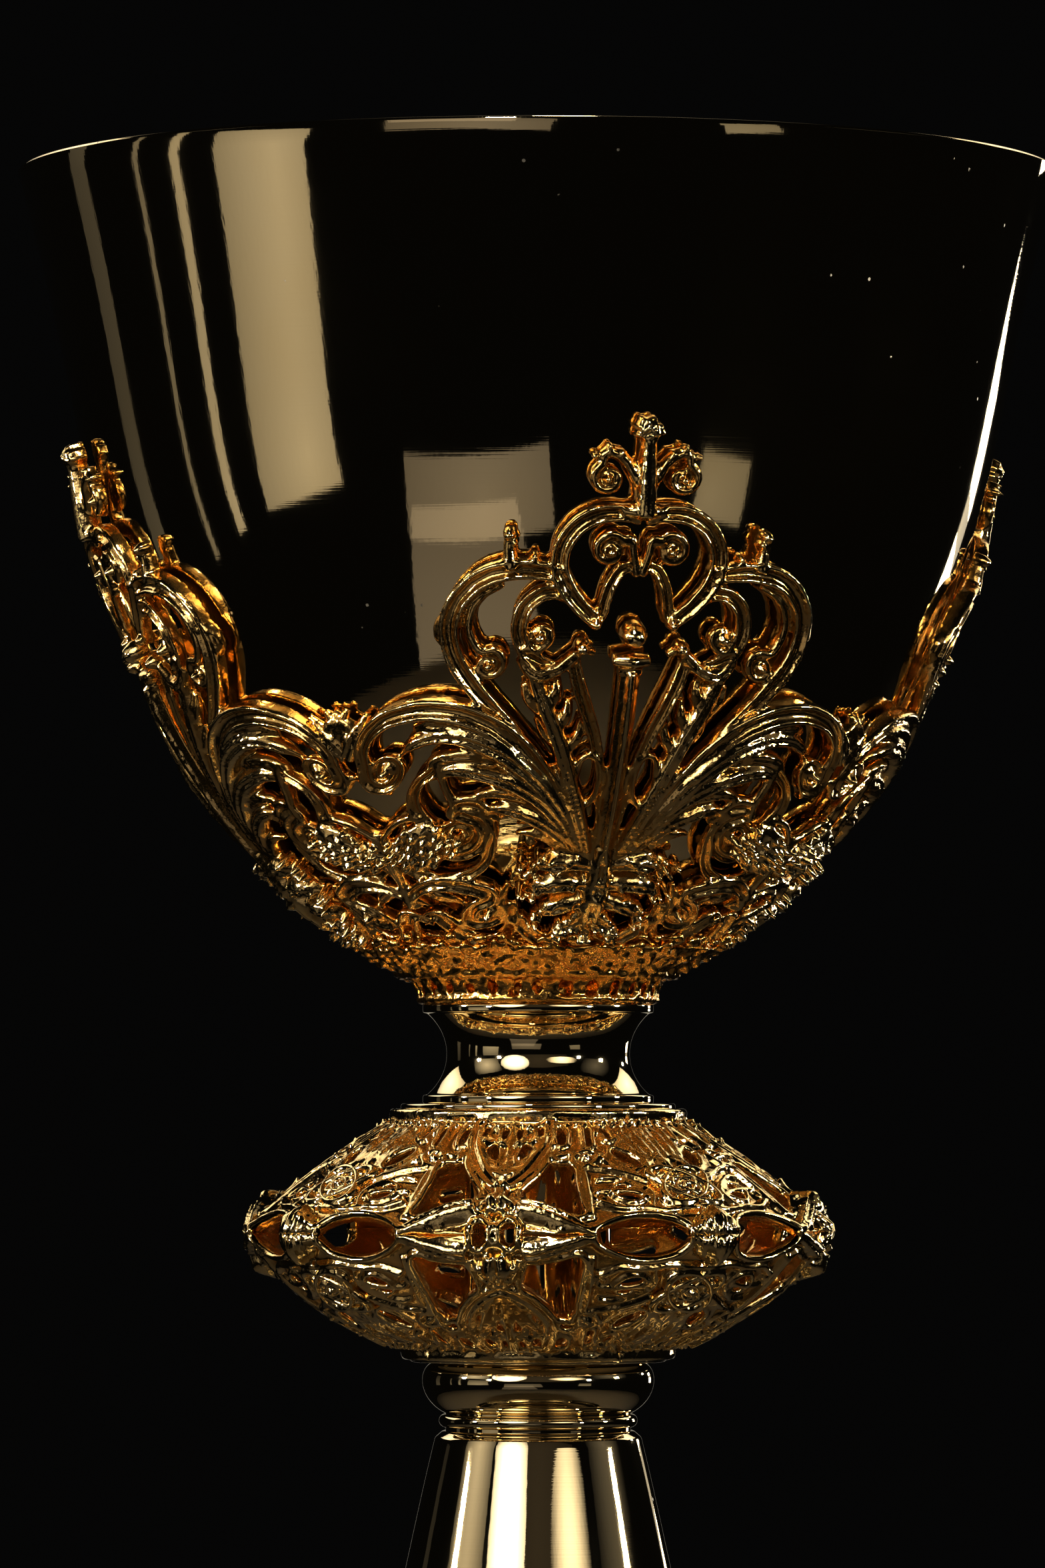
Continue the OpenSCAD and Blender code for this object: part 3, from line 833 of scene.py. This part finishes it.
for points, widths in BOW:
    draw(calyx, "leaf", points, widths)
    for (a, s), width in zip(points[1:], widths[1:]):
        for _ in range(4):
            bead(calyx, abs(a + chance.uniform(-2, 2)) + .01, s + chance.uniform(-1, 1),
                 chance.uniform(.35, .6),
                 chance.uniform(2.1, 2.9))
bead(calyx, 0, 18.6, 1.3, 3.3)
draw(calyx, "band", [(47, 13.4), (42, 14.6), (38.4, 13.4), (35.6, 11.4), (30, 10.4), (24.4, 11),
    (20.6, 13), (19.4, 16)], [.8, .85, .95, 1.0, 1.0, .9, .8, .5])
draw(calyx, "band", [(19, 14), (14.6, 11.2), (8.6, 9.8), (3, 10.6), (0, 12)], [.8, .95, .95, .9, .8])
draw(calyx, "leaf", [(20.4, 12), (22.6, 15.6), (20, 19)], [.7, .75, .4])
draw(calyx, "plate", [(47.6, 9.2), (24, 9.2), (0, 9.2)], [1.5, 1.5, 1.5])
for i in range(20):
    bead(calyx, 1.2 + i * 2.35, 8.7 + chance.uniform(-.3, .3), chance.uniform(.5, .75), 1.9)

# %% Cast the calyx, bend it and copy it round the cup
CALYX_GAP = 0.65
panel = cast(calyx, "calyx_front", voxel=0.2, most=185000)
bend(panel, CUP_SKIN, 0, CALYX_GAP)
place(panel, "stem", "calyx_panel_front", "cast_gold")
for quarter, side in enumerate(("right", "back", "left"), 1):
    copy = turned_copy(panel, "calyx_" + side, 90 * quarter)
    place(copy, "stem", "calyx_panel_" + side, "cast_gold")

# %% [markdown]
# ## The calyx's base ring
# A dished ring carries the four castings and rests on the collar. Thirty uneven holes go through
# its wall, two cords edge it, and small lumps cover its slope. The holes are cut with one Boolean,
# and the ring is then remeshed and roughened as the castings are.

# %% Base ring
HOLE_Z = 124.1      # the height of the row of holes
RING_LUMPS = 900
RING_TRIANGLES = 150000
ring_profile = [(4.5, 122.5), (12.1, 122.5)] + along(BELLY, 14, 2.5, 0.24, 0.41)
ring_profile += along(BELLY, 14, 0.65, 0.16, 0.41)[::-1] + [(8.5, 123.5), (4.5, 123.5)]
base_ring = turned("calyx_base_ring", ring_profile, steps=144, edge=0)
RING_HOLES = 30
drills = []
for i in range(RING_HOLES):
    angle = math.tau * (i + 0.5 + chance.uniform(-.15, .15)) / RING_HOLES
    spot = (12.4 * MM * math.cos(angle), 12.4 * MM * math.sin(angle), HOLE_Z * MM)
    facing = (0, math.radians(78), angle)
    bpy.ops.mesh.primitive_cylinder_add(vertices=16, radius=chance.uniform(.5, .85) * MM, depth=4 * MM,
                                        location=spot,
                                        rotation=facing)
    drills.append(bpy.context.object)
drill = join(drills, "ring_drills")
apply(base_ring, "BOOLEAN", operation="DIFFERENCE", object=drill, solver="EXACT")
bpy.data.objects.remove(drill)
cords = []
for radius, z, cord in ((12.3, 123.0, .42), (14.4, 125.6, .5)):
    bpy.ops.mesh.primitive_torus_add(major_segments=144, minor_segments=8, major_radius=radius * MM,
                                     minor_radius=cord * MM, location=(0, 0, z * MM))
    cords.append(bpy.context.object)
slope = np.array([(12.2, 122.9), (12.5, 125.0)] + along(BELLY, 12, 2.45, 0.24, 0.46))
slope_length = np.concatenate([[0], np.cumsum(np.hypot(*np.diff(slope, axis=0).T))])
lumps = []
for _ in range(RING_LUMPS):
    reach = chance.uniform(0, slope_length[-1])
    angle = chance.uniform(0, math.tau)
    radius, z = np.interp(reach, slope_length, slope[:, 0]), np.interp(reach, slope_length, slope[:, 1])
    if abs(z - HOLE_Z) < .9 and chance.random() < .75:
        continue
    spot = (radius * math.cos(angle), radius * math.sin(angle), z)
    lumps.append((BALL_POINTS * chance.uniform(.3, .65) + spot) * MM)
ring_lumps = balls("ring_lumps", lumps)
base_ring = join([base_ring] + cords + [ring_lumps], "calyx_base_ring")
apply(base_ring, "REMESH", mode="VOXEL", voxel_size=0.2 * MM)
apply(base_ring, "SMOOTH", factor=0.5, iterations=2)
ring_skin = bpy.data.textures.new("ring_skin", "CLOUDS")
ring_skin.noise_scale = 0.9 * MM
apply(base_ring, "DISPLACE", texture=ring_skin, strength=0.35 * MM, mid_level=0.5)
apply(base_ring, "DECIMATE", ratio=min(1, RING_TRIANGLES / triangles(base_ring)))
only(base_ring)
bpy.ops.object.shade_smooth()
print("base ring -", triangles(base_ring), "triangles")
place(base_ring, "stem", "calyx_ring", "cast_gold")

# %% [markdown]
# ## The knop's drawing
# The knop is two openwork shells, edge to edge. One quarter of a shell is drawn, with a strapwork
# cartouche at its middle and half a rosette at each side. Points are degrees from the cartouche and
# millimetres in from the knop's edge.

# %% Knop drawing
KNOP_EDGE = (30.8, 98.8)
KNOP_UP = [(30.8, 99.3), (28.6, 101.4), (20.5, 107.6), (14.5, 111.3)]
KNOP_DOWN = [(30.8, 98.3), (28.5, 94.3), (22, 88.5), (13.5, 85.9)]
UPPER_SKIN = skin_of([KNOP_UP], lift=-0.8, lead=[KNOP_EDGE])
LOWER_SKIN = skin_of([KNOP_DOWN], lift=-0.8, outward=-1, lead=[KNOP_EDGE])
KNOP_TURN = -21.6   # degrees from the front to the first cartouche
UPPER_RIM = 19.7    # where the upper shell meets its cap, in from the edge
LOWER_RIM = 20.9
KNOP_SHEET = 0.8
EYE = [(18.8, 0), (20.6, 1.0), (23.6, 1.9), (27.4, 2.6), (31.4, 2.8), (35.4, 2.5), (38.6, 1.6), (39.9, 0),
       (38.6, -1.6),
       (31.4, -2.8), (23.6, -1.9)]


def knop_field(board, rim):
    """What both shells share: the sheet, its openings, the rosette, the eye and the boss."""
    board["sheet"] = {"degrees": 45.2, "length": rim + 0.6, "thick": KNOP_SHEET}
    opening(board, EYE, rim=.36)
    opening(board, [(25.6, 6.3), (27.4, 5.3), (30, 4.9), (32.2, 5.3), (33, 6.3), (31.4, 7.2),
        (28.8, 7.8), (26.6, 7.4)], rim=.26)
    opening(board, [(29, 12.9), (30.6, 11.5), (33.4, 10.5), (36.2, 10.2), (37.8, 11), (36.8, 12.6),
        (34, 13.6), (30.8, 14)], rim=.3)
    opening(board, [(22.8, 14.2), (24.4, 14), (26.6, 16), (27.4, 18), (25.8, 18.4), (23.8, 16.8)], rim=.26)
    opening(board, [(30.2, 15.6), (32.2, 15.2), (33.8, 16.6), (33.6, 18.2), (31.6, 18.4)], rim=.26)
    opening(board, [(39, 12.2), (40.4, 11.4), (41.6, 13.2), (41.2, 16.8), (39.4, 17.4), (38.2, 15)],
        rim=.26)
    opening(board, [(43.6, 12), (45, 11.2), (46.4, 12), (46.8, 15), (45.8, 17.4), (44.2, 17.4),
        (43.2, 15)], rim=.26)
    opening(board, [(39.4, 4.5), (40.2, 4.2), (41, 4.8), (40.2, 6), (39.2, 6.6)])
    # outer ring of the small volute and the long double rim beside the eye
    draw(board, "cord", [(21.6, 4.8), (23.6, 4.4), (26, 3.9), (30, 4.0), (34, 4.4)], [.4, .34, .32, .3],
        ((22.6, 5.9), .8, 90, .9, 1), lift=.6)
    draw(board, "cord", [(22.8, 8.6), (26, 8.9), (30, 8.3), (33.6, 7.2), (35.2, 6), (34.6, 4.9)],
        [.3, .34, .34, .3], lift=.6)
    draw(board, "cord", [(22.6, 10.6), (26, 10.4), (30, 9.7), (34, 8.9), (36.4, 8.4)],
        [.3, .34, .34, .3], lift=.6)
    draw(board, "cord", [(26.4, 12.9), (29, 10.9), (33, 9.6), (37, 9.4), (38.8, 10.6), (37.6, 13.2),
        (34, 14.7)], [.28, .3], lift=.6)
    draw(board, "cord", [(19.6, 2.4), (19.9, 6), (20.2, 9.4), (20, 10.6)], [.3, .34, .34, .3], lift=.6)
    loop(board, "cord", 21.6, 12, (1.25, 1.25), .34, lift=.6)
    bead(board, 21.6, 12, .85, 1.9)
    draw(board, "cord", [(19.6, 12.3), (17, 12.8), (14.8, 12.4), (13.4, 13.4)], [.5, .45, .45, .5], lift=.3)
    bead(board, 17, 12.8, .6, 1.5)
    # rosette
    bead(board, 45, 7.1, 2.8, 1.25)
    loop(board, "cord", 45, 7.1, (2.75, 2.9), .42, lift=.8)
    loop(board, "cord", 45, 7.1, (1.15, 1.15), .26, lift=1.1)
    for spoke in range(9):
        way = math.tau * spoke / 9
        spot = flat(board["skin"], 45, 7.1) + 1.9 * np.array((math.cos(way), math.sin(way)))
        for side in (1, -1):
            board["beads"].append((spot[0] * side, spot[1], .5, 1.75))
    bead(board, 45, 7.1, .75, 2.2)
    # petals from the rosette to the rim
    for top, spread in ((33.4, 1.2), (37.2, .8), (41.6, .35), (45, 0)):
        draw(board, "rib", [(45 - (45 - top) * .42, 10.4 + spread * .2), (45 - (45 - top) * .72, 13.6),
            (top, 18.2)], [.3, .44, .5, .34], lift=.55)
        bead(board, top, 18.4, .62, 1.7)
    # ribs that run round the eye, and the grooved boss between two eyes
    draw(board, "cord", [(33, 3.9), (38, 3.5), (42, 3.6), (45, 3.7)], [.3, .34, .36], lift=.6)
    for turn in range(-3, 4):
        rise = 2.2 - .14 * turn * turn
        draw(board, "cord", [(45 + 1.35 * turn, 0), (45 + 1.2 * turn, 1.2), (45 + .5 * turn, 2.4)],
            [.38, .36, .26], lift=rise)
    bead(board, 45, 0, 2.3, 3.0)


def knop_rough(board, spots):
    """Low uneven lumps over the arms and the crest."""
    for degrees, length, count, top in spots:
        for _ in range(count):
            bead(board, abs(degrees + chance.gauss(0, 1.5)) + .01, max(.1, length + chance.gauss(0, .5)),
                 chance.uniform(.3, .55), top + chance.uniform(-.25, .2))


def knop_rim(board, rim):
    """Low beads and a cord where the shell meets its cap."""
    draw(board, "cord", [(46, rim), (30, rim), (15, rim), (0, rim)], [.6, .6], lift=.5)
    for i in range(13):
        bead(board, 1.6 + i * 3.6 + chance.uniform(-.5, .5), rim - 1.3 + chance.uniform(-.25, .25),
             chance.uniform(.45, .65), 1.35)


def knop_upper_board():
    """The upper shell's middle: cartouche, crest, arms and the heart with its curls."""
    board = new_board(UPPER_SKIN)
    knop_field(board, UPPER_RIM)
    opening(board, [(-.6, .9), (1.0, 1.0), (2.4, 1.8), (4, 1.6), (4.7, 0), (4, -1), (-.6, -1)], rim=.42)
    opening(board, [(5.3, 4.9), (8, 4.4), (12, 3.5), (16, 2.4), (17.9, 2.4), (18.3, 5), (18.2, 8),
        (18.5, 10.6), (16.8, 11.4), (14, 11.4), (12.2, 12.6), (10.6, 10.9), (8, 8.9), (5.4, 7.2),
        (4.2, 5.9)], rim=.34)
    opening(board, [(14.2, 14.4), (16.2, 14.2), (18, 15.4), (18, 17.4), (15.8, 18.2), (14.2, 16.6)],
        rim=.26)
    opening(board, [(2.6, 11.2), (4.6, 12), (6.8, 13.2), (7.4, 14.4), (5.6, 15.4), (3.6, 14.6),
        (2.2, 13)], rim=.24)
    opening(board, [(1.2, 15.4), (2.6, 15.2), (4.2, 16.6), (3.6, 18.2), (1.6, 18.2)], rim=.24)
    opening(board, [(8, 16.2), (10, 15.4), (11, 16.6), (10.2, 18.2), (8.2, 18.2)], rim=.24)
    draw(board, "leaf", [(4.6, 3.2), (8, 2.8), (11.5, 2.1), (15, 1.2), (18.6, .3)],
        [1.3, 1.3, 1.15, .95, .7], lift=.45)
    draw(board, "leaf", [(0, 2.2), (0, 3.8), (0, 5.2)], [1.3, 1.6, 1.0], lift=.4)
    bead(board, 0, 3.6, .85, 2.6)
    draw(board, "leaf", [(1.0, 4.4), (4, 4.5), (7.4, 3.7)], [.8, .8, .5], lift=.5)
    draw(board, "leaf", [(0, 4.6), (0, 6), (0, 7.4)], [1.0, .8, 1.0], lift=.4)
    draw(board, "band", [(0, 7.0), (2.6, 7.9), (6, 9.8), (9, 12.2), (11.6, 14.4), (13, 17),
        (12.8, 19.4)], [.65, .7, .7, .68, .66, .62, .55], lift=.4)
    draw(board, "cord", [(0, 9), (3, 9.8), (6, 11.5), (8.4, 13.4), (9.4, 15.2)],
        [.3, .34, .36, .34, .32], ((7.8, 14.9), .95, 20, .9, 1), lift=.6)
    bead(board, 7.8, 14.9, .6, 1.8)
    draw(board, "leaf", [(0, 8.8), (0, 10.4), (0, 12.4)], [.4, .6, .3], lift=.6)
    draw(board, "leaf", [(.6, 8.9), (2.2, 10), (3.6, 11.2)], [.35, .5, .3], lift=.6)
    draw(board, "rib", [(0, 12.6), (0, 15.6), (0, 18.4)], [.34, .4, .5], lift=.6)
    for spot in ((5.6, 17.6), (2.6, 14.6), (11.8, 18.4)):
        bead(board, *spot, .66, 1.7)
    knop_rough(board, [(7, 3, 10, 2.0), (11.5, 2.2, 9, 1.8), (15.5, 1.2, 5, 1.6), (2.2, 3.6, 8, 2.2)])
    knop_rim(board, UPPER_RIM)
    return board


def knop_lower_board():
    """The lower shell's middle: shield, small arms and the fan in its arch."""
    board = new_board(LOWER_SKIN)
    knop_field(board, LOWER_RIM)
    opening(board, [(-.6, .7), (1.2, .8), (2.6, 1.4), (4.2, 1.2), (4.7, 0), (4, -1), (-.6, -1)], rim=.42)
    opening(board, [(6.2, 3.0), (9, 2.9), (13, 2.5), (16.6, 2.0), (18, 2.6), (18.3, 5), (18.2, 8.4),
        (18.8, 11.6), (18, 14.2), (15.4, 14), (13.4, 12.2), (11, 10.2), (7.6, 8.2), (4.6, 6.8),
        (4.9, 4.8)], rim=.34)
    opening(board, [(14.4, 16), (17, 15.8), (19, 17), (18.4, 19), (15.6, 19.2), (14, 17.8)], rim=.26)
    opening(board, [(1.4, 9), (2.8, 9.2), (4.2, 11.4), (4.2, 14), (2.8, 15.2), (1.6, 12.6)], rim=.2)
    opening(board, [(5.2, 10.2), (7.4, 11.2), (9.6, 13), (9.8, 14.6), (7.6, 14.4), (5.6, 12.2)], rim=.2)
    opening(board, [(1.4, 16.4), (3.4, 16.8), (4.6, 18), (3.4, 19.4), (1.4, 19.2)], rim=.22)
    opening(board, [(6.6, 16.6), (8.8, 16.2), (10, 17.4), (9, 19), (6.8, 18.8)], rim=.22)
    draw(board, "leaf", [(5.6, 1.7), (8, 1.6), (12, 1.1), (18.6, .2)], [1.0, 1.05, .9, .65], lift=.45)
    draw(board, "leaf", [(0, 1.7), (0, 3.4), (0, 5.6)], [1.3, 1.6, .9], lift=.35)
    loop(board, "cord", 0, 3.6, (1.15, 1.2), .32, lift=1.4)
    bead(board, 0, 3.6, .7, 2.6)
    draw(board, "cord", [(5.0, 2.4), (4.4, 3.8), (2.8, 5.3), (.8, 6.6)], [.45, .4, .4, .4], lift=.6)
    for spot in ((2, 5.3), (0, 6.0), (3.4, 3.4)):
        bead(board, *spot, .5, 2.0)
    draw(board, "band", [(0, 6.9), (2.8, 7.5), (7, 9.2), (9.6, 10.8), (11.9, 12.8), (12.6, 15),
        (11.8, 18), (11.4, 20.6)], [.65, .7, .7, .68, .66, .66, .6, .55], lift=.4)
    draw(board, "leaf", [(0, 7.4), (0, 11.4), (0, 18.6)], [.3, .45, .75], lift=.55)
    for foot in ((4.8, 15), (10.6, 15.8)):
        draw(board, "leaf", [(.6, 7.6), (foot[0] * .5, 7.6 + (foot[1] - 7.6) * .45), foot],
            [.28, .36, .3], lift=.6)
        bead(board, *foot, .55, 1.7)
    for spot in ((2.6, 15.9), (5.4, 16.4), (8.2, 15.4), (5.6, 19.2)):
        bead(board, *spot, .6, 1.6)
    knop_rough(board, [(7.6, 1.7, 7, 1.7), (12, 1.1, 6, 1.55), (2.2, 3.2, 6, 2.0)])
    knop_rim(board, LOWER_RIM)
    return board


# %% Cast and bend the knop's shells
def knop_shell(name, board):
    skin = board["skin"]
    quarter = cast(board, name, voxel=0.18, most=48000, rough_size=0.9)
    bend(quarter, skin, KNOP_TURN, -1.35, full_height=2.2)
    copies = [quarter] + [turned_copy(quarter, name + str(i), 90 * i) for i in (1, 2, 3)]
    shell = join(copies, name)
    print(name, "-", triangles(shell), "triangles")
    return shell


upper_shell = knop_shell("knop_upper_openwork", knop_upper_board())
place(upper_shell, "stem", "knop_upper", "cast_gold")
lower_shell = knop_shell("knop_lower_openwork", knop_lower_board())
place(lower_shell, "stem", "knop_lower", "cast_gold")

# %% Clear the drawing tools away
for drawn in section_objects.values():
    bpy.data.objects.remove(drawn)

# %% [markdown]
# ## Threads
# The cup's stud and the tie rod are screwed bars. Each is a bar of fine rings, with the thread
# pressed in by moving every point in or out. The helix climbs one pitch each turn.

# %% Threaded bars
def threaded(name, radius, pitch, bottom, top, chamfer, plain=None):
    """Plain is the stretch between two heights that has no thread."""
    rings = int((top - bottom) / pitch * 8)
    steps = 36
    points = []
    for z in np.linspace(bottom, top, rings + 1):
        end = min(z - bottom, top - z)
        for i in range(steps):
            phase = (z / pitch - i / steps) % 1
            cut = 0.0 if plain and plain[0] < z < plain[1] else 0.5 * pitch * abs(2 * phase - 1)
            reach = min(radius - cut, radius - chamfer + end)
            angle = math.tau * i / steps
            points.append((reach * math.cos(angle) * MM, reach * math.sin(angle) * MM, z * MM))
    faces = [tuple(range(steps))[::-1], tuple(range(rings * steps, (rings + 1) * steps))]
    for ring in range(rings):
        for i in range(steps):
            j = (i + 1) % steps
            faces.append((ring * steps + i, ring * steps + j, (ring + 1) * steps + j,
                          (ring + 1) * steps + i))
    mesh = bpy.data.meshes.new(name)
    mesh.from_pydata(points, [], faces)
    bar = added(name, mesh)
    only(bar)
    bpy.ops.object.shade_smooth_by_angle(angle=math.radians(25))
    print(name, "-", triangles(bar), "triangles")
    return bar


stud = threaded("cup_stud_thread", radius=4, pitch=1.25, bottom=108.5, top=123.5, chamfer=1.0)
place(stud, "cup", "cup_stud", "steel")
rod = threaded("tie_rod_thread", radius=3, pitch=1.0, bottom=46, top=105.5, chamfer=0.8, plain=(61, 96))
place(rod, "stem", "tie_rod", "steel")

# %% [markdown]
# ## Inside pieces
# The boss, socket, flange, washers and nut are plain turned or stamped parts, and their CAD solids
# already have the right shape. They keep it and take a finish of raw brass or steel.

# %% Finishes for the CAD pieces that stay
FITTINGS = {"raw_brass": ("cup_boss", "stem_socket", "foot_flange"),
            "steel": ("rod_washer", "spring_washer", "rod_nut")}
for slot, names in FITTINGS.items():
    for name in names:
        finish(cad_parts[name], slot)
    print(slot, "-", ", ".join(names))

# %% [markdown]
# ## Floor and studio lights
# A small pale disc is the floor. Polished metal shows all that is round it, and a wide bright floor
# would fill the cup, so the disc is small and the soft boxes are flagged off it by light linking.
# One spotlight gives it a dim pool. The soft boxes stand in a dark room: each gives one clear shape
# in the gold and leaves the rest deep. Small strong ones give the castings their sparkle.

# %% Floor
bpy.ops.mesh.primitive_circle_add(vertices=128, radius=0.20, fill_type="NGON", location=(0, 0, 0))
floor = bpy.context.object
floor.name = "floor"
floor_paint, floor_shader = new_material("pale_floor", (0.72, 0.70, 0.67), metallic=0.0)
floor_place = node(floor_paint, "TexCoord").outputs["Object"]
link(floor_paint, ranged(floor_paint, noise(floor_paint, floor_place, 30, 4), 0.3, 0.7, 0.55, 0.7),
     floor_shader.inputs["Roughness"])
floor.data.materials.append(floor_paint)

# %% Room and soft boxes
room = bpy.data.worlds.new("room")
room.use_nodes = True
room.node_tree.nodes["Background"].inputs["Color"].default_value = (1.0, 0.98, 0.95, 1)
room.node_tree.nodes["Background"].inputs["Strength"].default_value = 0.002
scene.world = room
flagged = bpy.data.collections.new("flagged_from_lights")
flagged.objects.link(floor)
flagged.collection_objects[0].light_linking.link_state = "EXCLUDE"


def soft_box(name, turn, distance, height, size, brightness, colour, grid, aim, shape="RECTANGLE"):
    """turn is in degrees from the camera's side of the vessel. Brightness is as seen in a mirror on
    the box's own axis, grid is the angle that a honeycomb grid lets through, and aim is a height."""
    width, tall = size
    data = bpy.data.lights.new(name, "AREA")
    data.shape = shape
    data.size = width
    data.size_y = tall
    half = math.radians(grid) / 2
    data.spread = 2 * half
    kept = (math.tan(half) - half) / math.tan(half)   # what the grid lets through
    area = width * tall * (math.pi / 4 if shape == "ELLIPSE" else 1)
    data.energy = brightness * math.pi * area * kept
    data.color = colour
    lamp = added(name, data)
    angle = CAMERA_TURN + math.radians(turn)
    lamp.location = (distance * math.sin(angle), -distance * math.cos(angle), height)
    lamp.rotation_euler = (Vector((0, 0, aim)) - lamp.location).to_track_quat("-Z", "Y").to_euler()
    lamp.visible_camera = False
    lamp.light_linking.receiver_collection = flagged


WARM = (1.0, 0.92, 0.78)
NEUTRAL = (1.0, 0.96, 0.9)
LAMPS = [   # name, turn, distance, height, size, brightness, colour, grid, aim
    ("key", -30, 0.60, 0.34, (0.40, 0.40), 2.6, NEUTRAL, 44, 0.14, "ELLIPSE"),
    ("right_board", 30, 0.62, 0.28, (0.46, 0.16), 1.6, WARM, 40, 0.14, "ELLIPSE"),
    ("left_wall", -70, 0.60, 0.38, (0.42, 0.32), 0.45, WARM, 44, 0.14),
    ("right_wall", 80, 0.60, 0.38, (0.50, 0.32), 0.10, WARM, 44, 0.14),
    ("front_wall", 0, 0.90, 0.40, (1.4, 0.50), 0.035, (1.0, 0.82, 0.60), 100, 0.14),
    ("spark_left", -80, 0.62, 0.24, (0.05, 0.05), 220.0, WARM, 24, 0.14),
    ("spark_left_front", -50, 0.62, 0.20, (0.04, 0.04), 170.0, WARM, 24, 0.14),
    ("spark_right_front", 52, 0.62, 0.20, (0.04, 0.04), 130.0, NEUTRAL, 24, 0.14),
    ("spark_right", 86, 0.62, 0.24, (0.05, 0.05), 220.0, WARM, 24, 0.14),
    ("spark_high", -10, 0.40, 0.70, (0.05, 0.05), 200.0, WARM, 36, 0.14),
    ("spark_back", 132, 0.60, 0.22, (0.03, 0.03), 130.0, NEUTRAL, 24, 0.14),
    ("back_strip_high", 147, 0.65, 0.164, (0.08, 0.046), 4.0, NEUTRAL, 60, 0.19),
    ("back_strip_mid", 147, 0.65, 0.127, (0.08, 0.03), 0.5, NEUTRAL, 60, 0.18),
    ("back_strip_low", 147, 0.65, 0.075, (0.08, 0.07), 5.0, NEUTRAL, 60, 0.15),
    ("back_wall_left", -138, 0.62, 0.46, (0.46, 0.34), 1.3, WARM, 60, 0.14),
    ("back_wall_right", 140, 0.62, 0.46, (0.40, 0.34), 1.3, WARM, 60, 0.14),
    ("back_card", 180, 0.45, 0.085, (0.12, 0.12), 0.35, WARM, 70, 0.22),
    ("top_back", 175, 0.40, 0.75, (0.40, 0.12), 0.4, NEUTRAL, 30, 0.14),
    ("left_card", -62, 0.40, 0.085, (0.16, 0.12), 0.32, WARM, 70, 0.22),
    ("left_slip", -84, 0.40, 0.09, (0.02, 0.13), 0.30, WARM, 70, 0.22),
    ("left_slip_mid", -96, 0.40, 0.09, (0.012, 0.13), 0.16, WARM, 70, 0.22),
    ("left_slip_far", -118, 0.42, 0.10, (0.05, 0.16), 0.07, WARM, 70, 0.22),
    ("low_card", -15, 0.30, 0.035, (0.20, 0.07), 0.15, (1.0, 0.90, 0.80), 90, 0.20),
    ("low_sheet", -19, 0.235, 0.006, (0.14, 0.13), 0.15, (1.0, 0.90, 0.82), 120, 0.50),
    ("right_card", 47, 0.34, 0.04, (0.08, 0.055), 0.18, WARM, 90, 0.20),
]
for lamp in LAMPS:
    soft_box(*lamp)
print(len(LAMPS), "soft boxes")

# %% A dim pool on the floor
pool_data = bpy.data.lights.new("floor_pool", "SPOT")
pool_data.energy = 2.6
pool_data.spot_size = math.radians(20)
pool_data.spot_blend = 0.9
pool_data.shadow_soft_size = 0.05
pool_data.color = NEUTRAL
pool = added("floor_pool", pool_data)
pool.location = (0.1, 0.25, 1.2)
pool.rotation_euler = (Vector((0, 0, 0)) - pool.location).to_track_quat("-Z", "Y").to_euler()
scene.view_settings.view_transform = "Standard"
scene.view_settings.exposure = 0.7
scene.view_settings.gamma = 0.84
